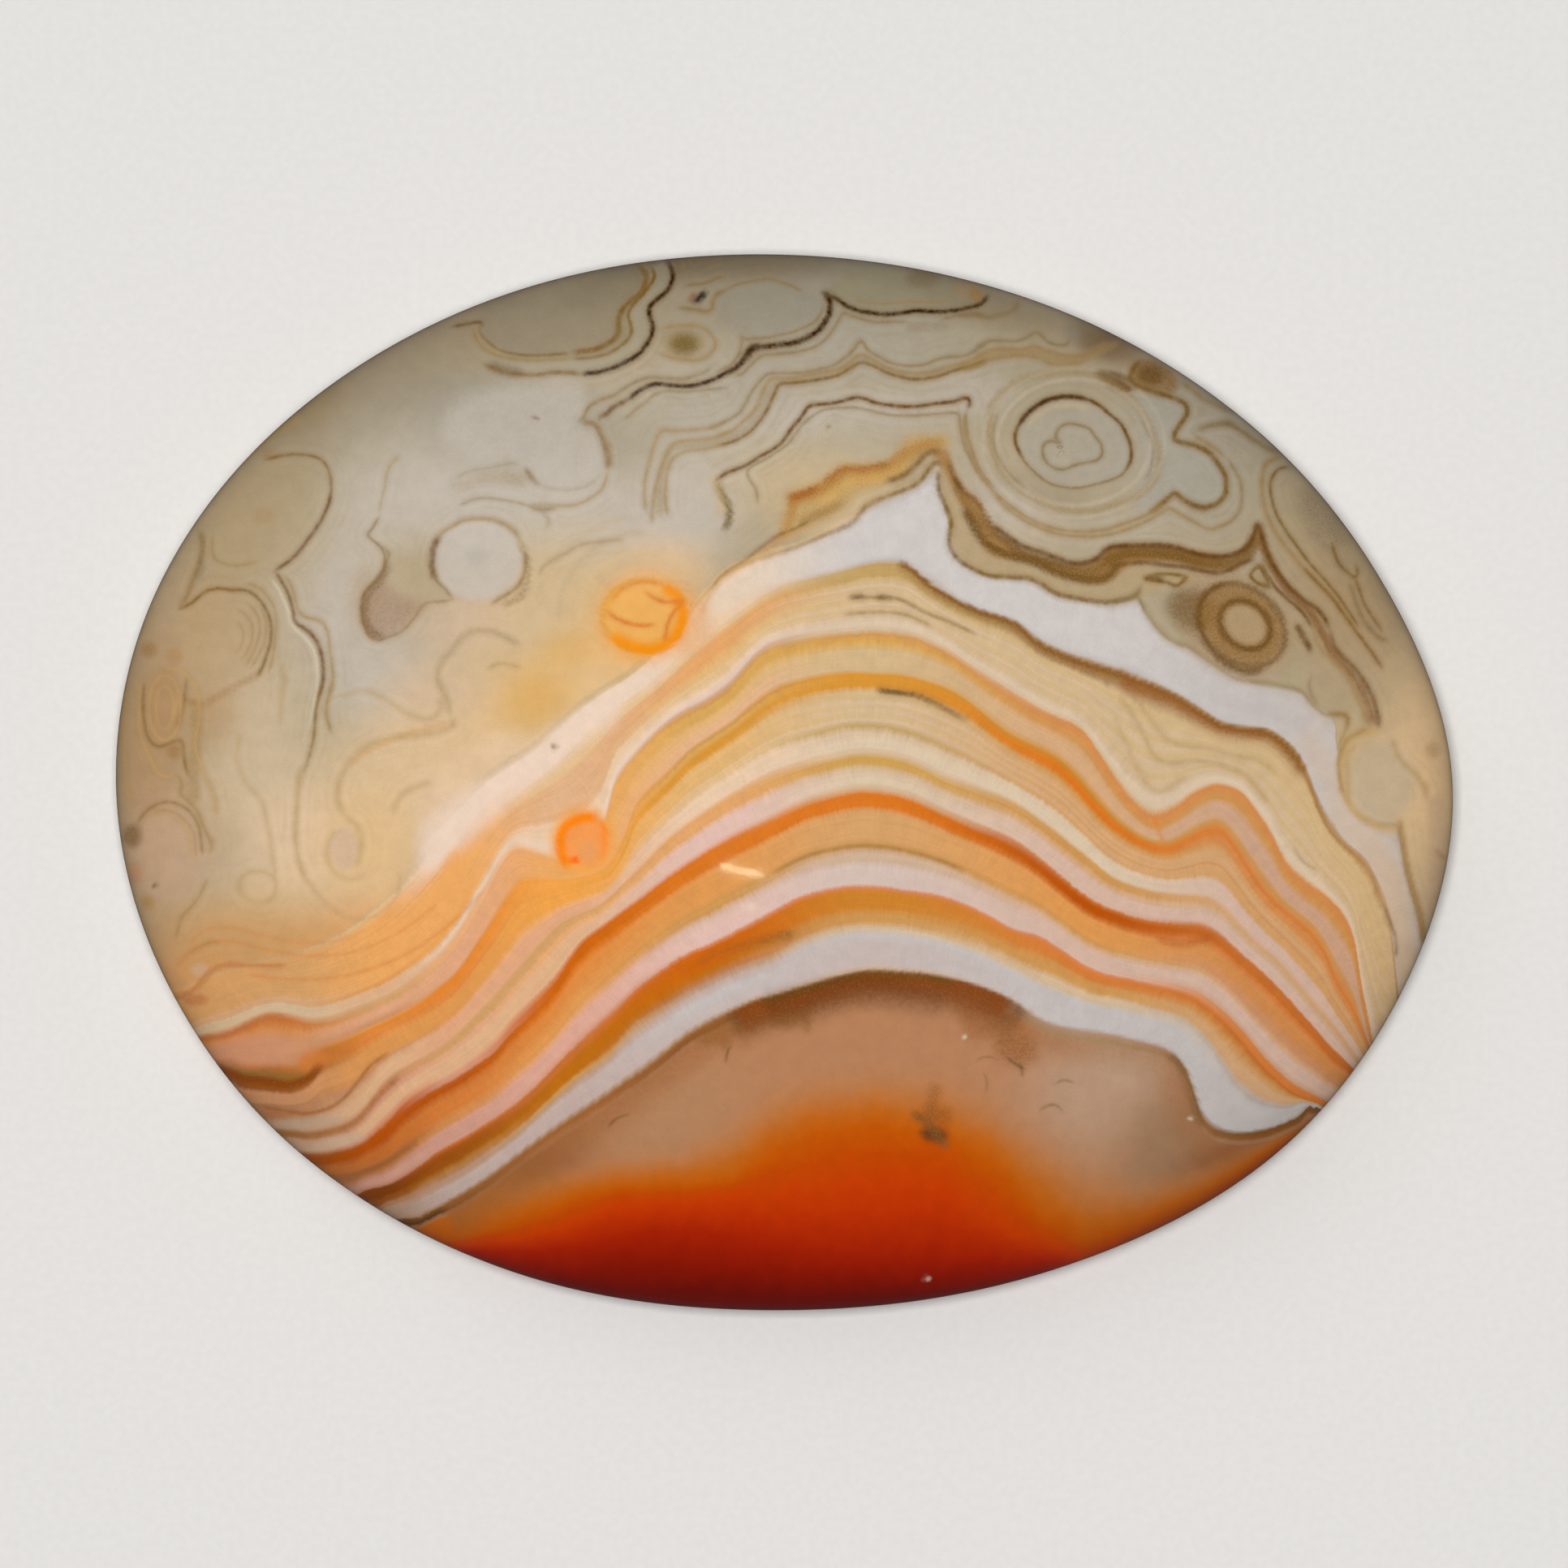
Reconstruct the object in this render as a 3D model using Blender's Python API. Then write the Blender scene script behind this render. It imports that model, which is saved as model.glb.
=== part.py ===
"""A polished oval agate, lying face up on its flat back.

One solid stone: a flat back with a rounded edge, a low upright side, and a
domed face that curves over from the side to its highest point. Metres, +Z up,
with the origin under the middle of the stone on the surface it rests on.
"""

import math

import bmesh
import bpy

# Driving dimensions, in metres
LENGTH = 0.0400
WIDTH = 0.0316
HEIGHT = 0.0080
SIDE_TOP = 0.0018
BACK_EDGE_RADIUS = 0.0007

# How full the outline is, in percent of the radius of a true ellipse, at
# sixteen equal bearings anticlockwise from +X: flat at the upper right
# shoulder, full at the lower right one, and nearly true at the ends.
FULLNESS = (
    0.0, -2.8, -2.8, -1.5, -0.2, 1.2, 1.2, 0.7,
    0.0, -0.1, 1.0, 1.3, 0.1, 0.8, 1.9, 0.6,
)

# How finely the curves are drawn
SEGMENTS = 96
DOME_RINGS = 16
EDGE_RINGS = 4


def clear_scene():
    for thing in list(bpy.data.objects):
        bpy.data.objects.remove(thing, do_unlink=True)


def fullness_at(angle):
    """The outline's departure from an ellipse at a bearing, from a smooth curve through FULLNESS."""
    count = len(FULLNESS)
    place = angle / (2 * math.pi) * count
    step = math.floor(place)
    t = place - step
    before, start, end, after = (FULLNESS[(step + k) % count] for k in (-1, 0, 1, 2))
    leaving = (end - before) / 2
    arriving = (after - start) / 2
    bend = 2 * t**3 - 3 * t**2
    value = start * (1 + bend) - end * bend
    value += leaving * (t**3 - 2 * t**2 + t) + arriving * (t**3 - t**2)
    return value / 100


def outline():
    """The stone's outline seen from above, sized and centred to exactly LENGTH by WIDTH."""
    points = []
    for k in range(SEGMENTS):
        angle = 2 * math.pi * k / SEGMENTS
        reach = 1 + fullness_at(angle)
        points.append((reach * math.cos(angle), reach * math.sin(angle)))
    sized = []
    for axis, size in ((0, LENGTH), (1, WIDTH)):
        low = min(point[axis] for point in points)
        high = max(point[axis] for point in points)
        sized.append([size * ((point[axis] - low) / (high - low) - 0.5) for point in points])
    return list(zip(*sized))


def profile():
    """(share of the outline's reach, height) from the back's edge up to just short of the top."""
    rows = []
    inset = BACK_EDGE_RADIUS / (LENGTH / 2)
    for k in range(EDGE_RINGS + 1):
        turn = math.pi / 2 * k / EDGE_RINGS
        share = 1 - inset * (1 - math.sin(turn))
        rows.append((share, BACK_EDGE_RADIUS * (1 - math.cos(turn))))
    for k in range(DOME_RINGS):
        rise = math.pi / 2 * k / DOME_RINGS
        rows.append((math.cos(rise), SIDE_TOP + (HEIGHT - SIDE_TOP) * math.sin(rise)))
    return rows


def add_ring(mesh, points, share, height):
    return [mesh.verts.new((x * share, y * share, height)) for x, y in points]


def join_rings(mesh, lower, upper):
    for k, corner in enumerate(lower):
        following = (k + 1) % len(lower)
        mesh.faces.new((corner, lower[following], upper[following], upper[k]))


def agate_mesh():
    mesh = bmesh.new()
    points = outline()
    rings = [add_ring(mesh, points, share, height) for share, height in profile()]
    for lower, upper in zip(rings, rings[1:]):
        join_rings(mesh, lower, upper)
    mesh.faces.new(list(reversed(rings[0])))
    top = mesh.verts.new((0, 0, HEIGHT))
    last = rings[-1]
    for k, corner in enumerate(last):
        mesh.faces.new((corner, last[(k + 1) % len(last)], top))
    data = bpy.data.meshes.new("agate")
    mesh.to_mesh(data)
    mesh.free()
    return data


def agate_material():
    """Polished stone of the warm tan that the bands mix to from a distance."""
    material = bpy.data.materials.new("polished_agate")
    material.use_nodes = True
    shader = material.node_tree.nodes["Principled BSDF"]
    shader.inputs["Base Color"].default_value = (0.52, 0.34, 0.20, 1)
    shader.inputs["Roughness"].default_value = 0.08
    shader.inputs["Metallic"].default_value = 0.0
    return material


def make_agate():
    data = agate_mesh()
    data.materials.append(agate_material())
    data.shade_smooth()
    data.set_sharp_from_angle(angle=math.radians(40))
    stone = bpy.data.objects.new("agate", data)
    bpy.context.scene.collection.objects.link(stone)
    return stone


clear_scene()
make_agate()
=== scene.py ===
"""The finish of the polished banded agate, and the plain studio it is seen in.

The markings are drawn in the plane of the photograph, in its 1932-pixel frame,
as given curves. Each curve becomes a smooth field on the stone's mesh,
such as a height in the band sequence or a distance from a line, and the
material turns the fields into colour with ramps. Below the face the same fields
run on into the stone, so the side and the back show the same bands.

The drawing's tables are short texts. Where a row has a path, the path follows
the colon: points, an oval's middle, reach along and across, and turn, or the
stretch along the bands at a height between two columns. A path that ends where
it starts is closed. A row that runs over the line goes on indented, and a line
with # names the marks under it.
"""

import functools
import math

import bpy
import numpy as np
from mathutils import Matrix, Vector


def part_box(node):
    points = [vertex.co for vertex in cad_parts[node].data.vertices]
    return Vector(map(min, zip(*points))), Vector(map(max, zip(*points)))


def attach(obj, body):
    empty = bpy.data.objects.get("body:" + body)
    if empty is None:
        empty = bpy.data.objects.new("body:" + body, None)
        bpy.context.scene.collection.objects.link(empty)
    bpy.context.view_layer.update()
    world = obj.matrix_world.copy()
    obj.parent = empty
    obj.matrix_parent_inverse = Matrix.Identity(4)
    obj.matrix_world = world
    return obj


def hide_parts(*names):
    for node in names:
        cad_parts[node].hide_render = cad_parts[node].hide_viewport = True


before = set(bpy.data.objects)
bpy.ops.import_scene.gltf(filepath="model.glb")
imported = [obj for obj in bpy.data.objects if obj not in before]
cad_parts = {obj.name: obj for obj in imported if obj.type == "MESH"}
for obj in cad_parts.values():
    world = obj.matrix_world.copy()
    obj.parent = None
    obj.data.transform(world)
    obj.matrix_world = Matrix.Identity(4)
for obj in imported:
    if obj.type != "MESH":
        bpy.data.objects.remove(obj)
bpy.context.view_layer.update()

# The photograph's frame, in pixels, and where the stone lies in it
PHOTO_SIDE = 1932
STONE_CENTRE = (966.2, 964.0)
STONE_SPAN = 1646.5

# The stone, in metres, as in the solid
LOW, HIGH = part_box("agate")
LENGTH = HIGH.x - LOW.x
WIDTH = HIGH.y - LOW.y
HEIGHT = HIGH.z - LOW.z
SIDE_TOP = 0.0018
BACK_EDGE_RADIUS = 0.0007
# How far the outline stands out from an ellipse round the stone, in hundredths
FULLNESS = (0.0, -2.8, -2.8, -1.5, -0.2, 1.2, 1.2, 0.7, 0.0, -0.1, 1.0, 1.3, 0.1, 0.8, 1.9, 0.6)
PIXEL = LENGTH / STONE_SPAN

# How finely the stone is meshed: the face in rings up to a share of its reach,
# then the steep shoulder, the side and the back's rounded edge. The flat back
# starts a little inside that edge. The outline's size and the way down the dome
# are measured at so many places.
FACE_RINGS = 148
FACE_SHARE = 0.985
SHOULDER_RINGS = 7
SIDE_RINGS = 2
EDGE_RINGS = 4
EDGE_INSET = BACK_EDGE_RADIUS / (LENGTH / 2)
BACK_SHARE = 0.992
OUTLINE_SAMPLES = 96
DOME_SAMPLES = 200

# Where the two ovals lie in the texture map, and how far they reach
FACE_MAP_MIDDLE = (0.5, 0.68)
FACE_MAP_REACH = (0.485, 0.305)
BACK_MAP_MIDDLE = (0.5, 0.185)
BACK_MAP_REACH = (0.22, 0.17)

# Below the face the bands drift right and up and swing to and fro, in shares of
# the depth, with waves of these lengths in pixels
BAND_DRIFT = (0.25, -0.35)
BAND_SWING = 0.125
SWING_LENGTHS = (90, 120)

# The camera looks straight down from this height above the side's top
CAMERA_HEIGHT = 0.40
SENSOR = 36.0
NEAREST_SEEN = 0.01

# The studio: its floor, the sky with its broad soft patch, and the lamps, each
# with its place, size, brightness, turn in degrees and whether the polish
# mirrors it. The key lamp lights the stone evenly from nearly straight above.
# The mirrored ones make the glint on the bands, and have its tint.
FLOOR_SIDE = 4.0
SKY_BRIGHTNESS = 0.04
PATCH_BRIGHTNESS = 0.95
PATCH_DIRECTION = (-0.395, 0.564, 0.726)
PATCH_REACH = 32
KEY_LIGHT = ((-0.02, 0.01, 0.60), (0.16, 0.16), 41.3, 0.0, False)
STRIP_LIGHT = ((-0.025, -0.084, 0.60), (0.028, 0.0012), 54.0, -20.0, True)
SPARK_LIGHT = ((-0.018, -0.120, 0.60), (0.006, 0.0032), 8.0, -18.0, True)
GLINT_TINT = (1.0, 0.94, 0.66)

# Named colours, as screen values from 0 to 255
# The darkest smoky brown serves both for smoke in the stone and for painted shade along the top rim.
PALETTE_TEXT = """
white 206 199 194, cool 198 189 184, pearl 192 181 168, pinkwhite 224 196 178, blush 235 208 186,
wheat 222 190 148, biscuit 206 176 148, fawn 190 162 136, ivory 186 174 152, bone 178 162 134,
grey 172 166 152, putty 165 155 130, khaki 175 155 120, tawny 155 138 112, stone 150 143 126,
moss 150 140 110, drab 145 133 110, soot 105 88 60, stain 162 136 92, sand 210 180 134, tan 205 172 120,
mustard 214 165 88, honey 204 158 82, bronze 150 108 50, olive 170 128 62, peach 224 176 134,
apricot 226 164 104, tangerine 236 168 98, amber 216 148 54, marigold 240 142 0, flame 254 106 4,
orange 218 118 32, burnt 205 100 12, copper 200 112 48, rust 186 92 34, ochre 206 150 84, rose 216 134 92,
salmon 216 152 122, terracotta 188 120 74, dusk 183 129 91, clay 172 138 100, chestnut 152 90 42,
brown 132 84 36, sienna 136 66 14, sepia 110 75 25, umber 96 56 24, bistre 108 76 24, brass 168 122 66,
oat 182 158 120, straw 192 158 100, caramel 180 124 52, beige 186 150 122, taupe 156 120 88,
russet 158 98 50, hazel 138 78 34, corn 225 187 137, vanilla 232 200 168, custard 224 194 152,
milk 228 204 178, linen 204 184 154, ecru 205 190 166, latte 212 184 150, rosy 211 189 177,
petal 224 187 173, lilac 196 172 162, blossom 223 167 146, shell 206 163 134, almond 213 167 124,
guava 225 166 126, nectar 233 171 116, toffee 212 160 104, squash 223 152 82, mango 240 162 74,
butter 233 172 88, dijon 221 158 46, pumpkin 230 134 48, cantaloupe 243 152 80, paprika 215 126 58,
cinnamon 205 130 44, ginger 206 146 104, dust 197 136 105, toast 186 112 54, cumin 191 110 18,
nut 160 83 16, blaze 250 130 0, henna 186 82 6, rosewood 210 155 134, persimmon 223 137 64,
flax 224 178 116, frost 198 181 175, chalk 218 195 166, clementine 212 141 80, quartz 214 180 160,
ashen 187 173 163, jet 26 12 0, pickle 112 92 36, paper_low 223 221 218, paper_high 226 224 221
"""
PALETTE = {name: tuple(map(int, light)) for name, *light in map(str.split, PALETTE_TEXT.split(","))}

# Curves that carry the bands across the stone, from the top one down. Each is
# named by the height in pixels at which it crosses the column at 1070, and has
# its points from left to right.
BAND_CURVES = """
620: 140,1215 215,1200 260,1185 320,1172 380,1150 430,1120 480,1075 520,1030 560,990 600,955 657,920 696,885
  728,860 775,830 820,790 850,752 870,728 894,703 944,683 1000,664 1056,634 1073,621 1098,609 1127,596
  1155,574 1163,612 1175,660 1191,690 1225,709 1270,711 1298,729 1341,735 1371,742 1400,734 1411,755
  1433,783 1472,802 1515,828 1557,844 1599,850 1618,867 1641,881 1647,900 1651,960 1656,980 1672,1003
  1698,1017 1722,1021 1728,1047 1735,1085 1743,1114 1752,1150 1775,1260
694: 140,1262 225,1250 260,1232 320,1212 380,1206 440,1188 490,1160 530,1125 560,1080 580,1045 600,1016
  619,997 657,968 696,936 743,888 782,860 820,830 860,790 900,757 950,726 992,713 1034,703 1070,694 1110,693
  1141,716 1160,730 1202,751 1250,768 1282,794 1327,814 1377,829 1398,838 1424,847 1454,862 1484,881
  1506,894 1535,899 1561,902 1583,916 1602,938 1613,962 1624,992 1639,1021 1661,1043 1683,1062 1698,1092
  1709,1121 1716,1160 1722,1230 1740,1330
780: 140,1300 249,1279 282,1273 308,1260 333,1251 359,1255 384,1261 410,1259 435,1250 461,1240 486,1229
  512,1212 537,1194 560,1171 580,1140 598,1108 616,1072 632,1051 650,1052 676,1061 700,1068 722,1066
  740,1040 752,993 760,966 783,935 817,901 842,885 871,872 900,852 925,822 950,801 992,789 1034,783 1070,780
  1110,783 1139,791 1169,806 1202,829 1250,861 1290,884 1324,899 1341,915 1366,955 1391,990 1420,1014
  1449,1002 1473,983 1500,972 1528,981 1546,1003 1565,1032 1583,1069 1609,1095 1639,1114 1657,1136 1669,1166
  1674,1203 1680,1240 1687,1276 1700,1340
838: 140,1330 272,1316 300,1326 330,1331 359,1333 379,1322 396,1300 410,1293 435,1283 461,1270 486,1258
  512,1245 537,1227 564,1205 592,1166 606,1146 632,1105 648,1089 696,1086 727,1080 753,1070 772,1035 785,997
  823,958 855,926 900,896 930,872 960,853 992,843 1034,836 1070,836 1118,840 1152,849 1181,862 1202,877
  1245,911 1295,936 1320,957 1345,986 1374,1015 1407,1036 1438,1044 1465,1033 1487,1022 1506,1023 1524,1047
  1543,1077 1565,1106 1595,1132 1617,1151 1632,1173 1646,1208 1665,1240 1683,1280 1700,1320
930: 140,1400 343,1395 374,1399 399,1397 425,1391 440,1380 455,1365 466,1347 486,1326 512,1311 537,1298
  560,1281 600,1242 632,1207 670,1162 696,1137 737,1118 759,1099 791,1070 823,1038 871,1003 900,984 950,958
  992,943 1034,932 1070,928 1118,937 1160,958 1202,974 1246,991 1283,1015 1324,1048 1366,1081 1399,1096
  1454,1106 1487,1109 1506,1121 1521,1136 1546,1162 1572,1184 1595,1210 1620,1240 1646,1269 1670,1302
  1700,1340
976: 140,1440 382,1426 404,1423 435,1416 461,1400 481,1383 499,1362 524,1344 560,1324 607,1293 629,1267
  654,1245 682,1217 704,1183 721,1161 761,1131 817,1090 859,1060 900,1037 950,1012 992,991 1034,979 1070,974
  1118,983 1160,1002 1202,1021 1245,1040 1272,1058 1304,1085 1332,1108 1360,1124 1402,1138 1447,1145
  1476,1147 1498,1158 1528,1184 1558,1210 1587,1240 1617,1273 1639,1299 1661,1317 1700,1350
1096: 140,1500 410,1481 445,1472 481,1464 512,1446 537,1426 560,1413 593,1394 640,1363 685,1320 704,1301
  733,1273 761,1245 789,1217 831,1186 873,1166 910,1147 950,1126 992,1105 1034,1096 1070,1094 1118,1099
  1160,1106 1202,1122 1250,1147 1277,1154 1304,1169 1332,1188 1360,1201 1396,1209 1432,1217 1472,1229
  1502,1251 1528,1276 1554,1309 1583,1338 1609,1354 1700,1390
1141: 140,1520 440,1495 466,1487 499,1477 524,1464 560,1446 610,1412 645,1384 680,1350 712,1322 753,1292
  779,1264 823,1236 855,1217 900,1196 950,1178 992,1155 1034,1143 1070,1139 1118,1143 1160,1152 1202,1166
  1250,1189 1283,1205 1345,1230 1380,1237 1417,1247 1454,1259 1484,1284 1506,1317 1528,1347 1558,1364
  1587,1366 1617,1360 1700,1395
1199: 140,1530 486,1503 512,1500 537,1490 560,1479 602,1453 644,1422 672,1402 714,1374 756,1346 799,1316
  841,1282 869,1265 925,1238 955,1229 992,1218 1034,1206 1070,1199 1118,1201 1155,1205 1202,1216 1245,1234
  1282,1259 1318,1270 1360,1275 1400,1284 1425,1290 1441,1297 1458,1314 1469,1341 1479,1374 1495,1391
  1521,1397 1546,1395 1576,1387 1602,1374 1622,1363 1700,1400
"""

# The band sequence: the height at the same column, then the colour at each of
# the stations from the left end to the right one. A dot is the colour above it.
# Between two rows the colour changes evenly, so a band that ends in a sharp rim
# has a close pair.
BAND_STATIONS = (340, 475, 560, 690, 880, 1070, 1340, 1560)
BANDS = """
612 clear clear clear clear clear clear clear clear
618 . . . tan sand sand putty putty
624 . . . sand tan pearl pearl pearl
632 . . blush blush vanilla white white cool
640 . . . . milk . . .
647 toffee corn . . . . . .
658 . tangerine . . . . . .
668 . . nectar . . . . .
680 . . tangerine . . . . .
686 . . . vanilla vanilla . cool .
691 . . . corn . cool clay clay
697 . . . . . straw brass brass
704 . . . . corn . clay sand
710 . . . peach apricot . sand .
717 . . . . . sand . .
722 . . . . . latte latte .
728 . . . . . sand sand .
733 almond . . . flax latte latte latte
735 . . . . . sand sand sand
739 . . . . . . . .
745 . squash mango vanilla corn latte latte latte
751 latte peach peach . . sand sand sand
758 . . vanilla . vanilla latte latte latte
766 . . peach blush pinkwhite chalk chalk chalk
771 almond almond nectar vanilla shell . latte .
776 ginger toffee . nectar ochre latte clementine clementine
782 copper . guava tangerine mustard ochre . .
792 clementine guava . . . mustard ochre ochre
802 ginger . . . flax sand almond shell
820 . ginger . . peach . . .
827 toast squash persimmon . . . ochre ochre
833 bronze pumpkin pumpkin mango ochre amber cinnamon clementine
840 nut persimmon . . mustard . orange paprika
848 . . persimmon . amber . . clementine
855 chestnut squash . . . sand ochre .
862 ginger . squash . flax . toffee toffee
867 . . . . . latte almond .
872 . . . . . sand toffee almond
878 . . . . . latte almond toffee
881 dusk . . . . sand toffee ginger
884 . . . . . . . toffee
889 . ginger . tangerine corn latte almond .
896 terracotta almond guava nectar . straw toffee .
903 dusk peach . guava vanilla latte chalk quartz
914 shell . . . . chalk . .
921 . . . . . . . .
928 brass ginger toffee toffee apricot latte ochre almond
935 . . . . . honey . .
941 shell salmon guava nectar . . almond biscuit
949 . peach peach peach petal latte quartz quartz
961 . . . . . chalk . .
966 dusk salmon . . . . . copper
970 nut rose . rose blossom latte copper .
975 . rust salmon burnt orange almond henna .
980 . henna . . . orange . .
986 . . rust . . . . paprika
994 . . henna orange . . copper clementine
1002 toast rust copper persimmon squash toffee squash .
1012 . copper paprika . . . . .
1034 . . . squash . . . ginger
1044 dust chestnut clementine . ochre ochre ochre almond
1052 . toast . guava . biscuit almond quartz
1061 . dust rosewood blossom quartz . quartz .
1070 . rosewood . . petal rosy . .
1080 . . . . . . . shell
1086 terracotta dust . salmon . . . paprika
1091 . sienna copper copper . . . .
1095 sienna . rust . rose rose rose .
1100 . . nut . burnt cinnamon paprika copper
1110 . . . cumin . . . ochre
1119 . nut . . . . ochre almond
1129 chestnut chestnut caramel . cumin ochre . .
1137 dusk dusk dusk . terracotta . latte ashen
1145 beige . beige ochre beige latte . cool
1153 . beige . beige lilac cool cool .
1163 . . lilac lilac cool frost . .
1188 . . . . frost . . .
1194 . . beige beige fawn biscuit . .
1200 umber brown brown russet brown umber fawn brown
1206 . umber umber terracotta umber . khaki chestnut
1214 clear clear clear clear clear clear clear clear
"""

# Soft areas of colour under the bands and lines, painted in this order: the
# colour, the middle, the reach along and across, the turn in degrees
# clockwise, and how strongly it covers
UPPER_GROUND = "bone"
# The dark area along the top edge at 860 322 is painted shade along the rim.
UPPER_AREAS = """
tawny 450 470 200 110 -35 0.7, tawny 700 380 220 70 -10 0.5, grey 640 550 190 90 0 0.6,
ivory 480 580 120 70 0 0.5, pearl 560 620 140 60 0 0.7, pearl 430 740 70 130 0 0.7,
khaki 520 710 60 50 0 0.6, biscuit 600 775 90 50 0 0.8, pearl 480 850 70 55 0 0.8,
sand 610 850 110 60 -10 0.8, mustard 690 835 80 45 -15 0.8, wheat 520 940 120 90 -30 0.9,
wheat 400 1020 110 90 0 0.75, pearl 850 620 60 100 20 0.8, pearl 740 640 110 60 0 0.7,
ivory 920 560 70 60 0 0.7, grey 900 490 110 50 0 0.6, stone 960 370 170 60 0 0.6,
stone 1110 350 150 50 0 0.6, grey 1060 430 160 50 0 0.6, ivory 1050 530 130 50 0 0.6,
sand 1000 600 100 50 0 0.5, putty 1240 470 120 60 0 0.6, ivory 1190 600 60 60 0 0.5,
tawny 1290 625 80 35 20 0.5, ivory 1390 660 70 30 0 0.6, grey 1470 560 110 90 20 0.6,
khaki 1640 690 60 130 -35 0.7, clay 1650 760 50 90 -35 0.4, khaki 1600 800 60 40 30 0.5,
sand 1694 965 60 60 0 0.6, custard 1760 960 60 160 0 0.8, khaki 320 640 100 90 0 0.6,
ecru 1260 640 60 30 20 0.5, taupe 1366 426 44 20 10 0.7, putty 660 530 110 36 0 0.4,
stone 620 498 110 34 0 0.6, soot 860 322 200 24 0 0.6, pearl 1090 500 110 30 0 0.6,
pearl 1200 482 56 30 0 0.6, pearl 1240 622 50 26 20 0.5, ivory 1350 646 60 24 0 0.5,
pearl 985 515 60 26 -10 0.5, soot 670 542 150 44 0 0.2, soot 262 930 70 50 0 0.25,
bistre 270 1030 60 40 0 0.25, soot 760 352 90 26 -18 0.4, soot 1230 384 90 24 16 0.35,
soot 1356 420 44 22 26 0.6, clay 450 742 20 40 0 0.5, chalk 1660 1030 44 60 0 0.6,
sand 1650 930 40 50 0 0.4, clay 265 800 70 100 0 0.4, linen 320 930 80 140 0 0.7, clay 185 940 50 170 0 0.7,
linen 300 1000 60 100 0 0.4, clay 262 880 36 40 0 0.5, stain 384 500 50 30 -40 0.5,
fawn 215 1045 70 80 0 0.5, wheat 400 1100 120 50 -10 0.7, apricot 470 1150 140 60 -20 0.9,
vanilla 365 1030 60 60 0 0.5, corn 460 1045 70 70 -30 0.85, vanilla 565 985 60 40 -45 0.6,
ochre 300 1170 130 60 0 0.7, squash 240 1215 60 36 0 0.5, sand 680 740 100 80 -30 0.75,
corn 740 830 120 55 -25 0.9, corn 640 900 80 60 -30 0.7, mustard 660 862 50 36 -30 0.7,
mustard 700 800 36 24 0 0.5, vanilla 620 925 40 24 0 0.5, biscuit 540 850 60 40 0 0.5,
corn 820 700 60 40 0 0.6, butter 796 764 80 64 0 0.7
"""
WINDOW_GROUND = "dusk"
WINDOW_AREAS = """
hazel 620 1470 120 60 -30 0.8, clay 830 1370 90 50 -25 0.3, beige 1360 1340 100 84 0 1,
fawn 1390 1300 50 40 30 0.6, taupe 1440 1410 60 75 20 0.8, hazel 1530 1420 80 28 -20 0.7
"""

# The carnelian glow of the window: at each column, how far down the glow
# starts, and where it reaches each level of FIRE_LEVELS
FIRE_LEVELS = (0.0, 0.4, 0.6, 0.8, 1.0)
FIRE_COLUMNS = """
560: 1440 1528 1536 1544 1560
600: 1430 1516 1530 1542 1568
640: 1436 1506 1526 1542 1578
700: 1428 1480 1508 1538 1586
760: 1416 1464 1484 1523 1588
840: 1408 1461 1479 1516 1592
900: 1370 1455 1472 1524 1594
945: 1330 1425 1470 1530 1596
1000: 1312 1397 1468 1540 1598
1080: 1306 1387 1456 1544 1598
1160: 1312 1400 1456 1544 1598
1220: 1340 1430 1500 1549 1594
1280: 1376 1494 1530 1556 1586
1340: 1424 1530 1552 1568 1590
1400: 1450 1512 1535 1550 1570
1480: 1432 1478 1498 1512 1530
1560: 1398 1424 1440 1455 1470
1620: 1366 1388 1404 1418 1434
"""
# The glow's colour at each level, and how fully it covers
FIRE = (
    (0.00, (190, 124, 74), 0.0), (0.10, (191, 122, 66), 0.35), (0.20, (193, 113, 46), 0.75),
    (0.30, (195, 102, 22), 0.97), (0.40, (197, 88, 2), 1.0), (0.50, (196, 72, 0), 1.0),
    (0.60, (202, 62, 0), 1.0), (0.70, (192, 48, 0), 1.0), (0.80, (174, 33, 0), 1.0),
    (0.90, (150, 22, 0), 1.0), (1.00, (120, 13, 0), 1.0),
)
# The heights over which the glow comes in under the lowest band
FIRE_TOP = (1192.0, 1200.0)
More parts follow.
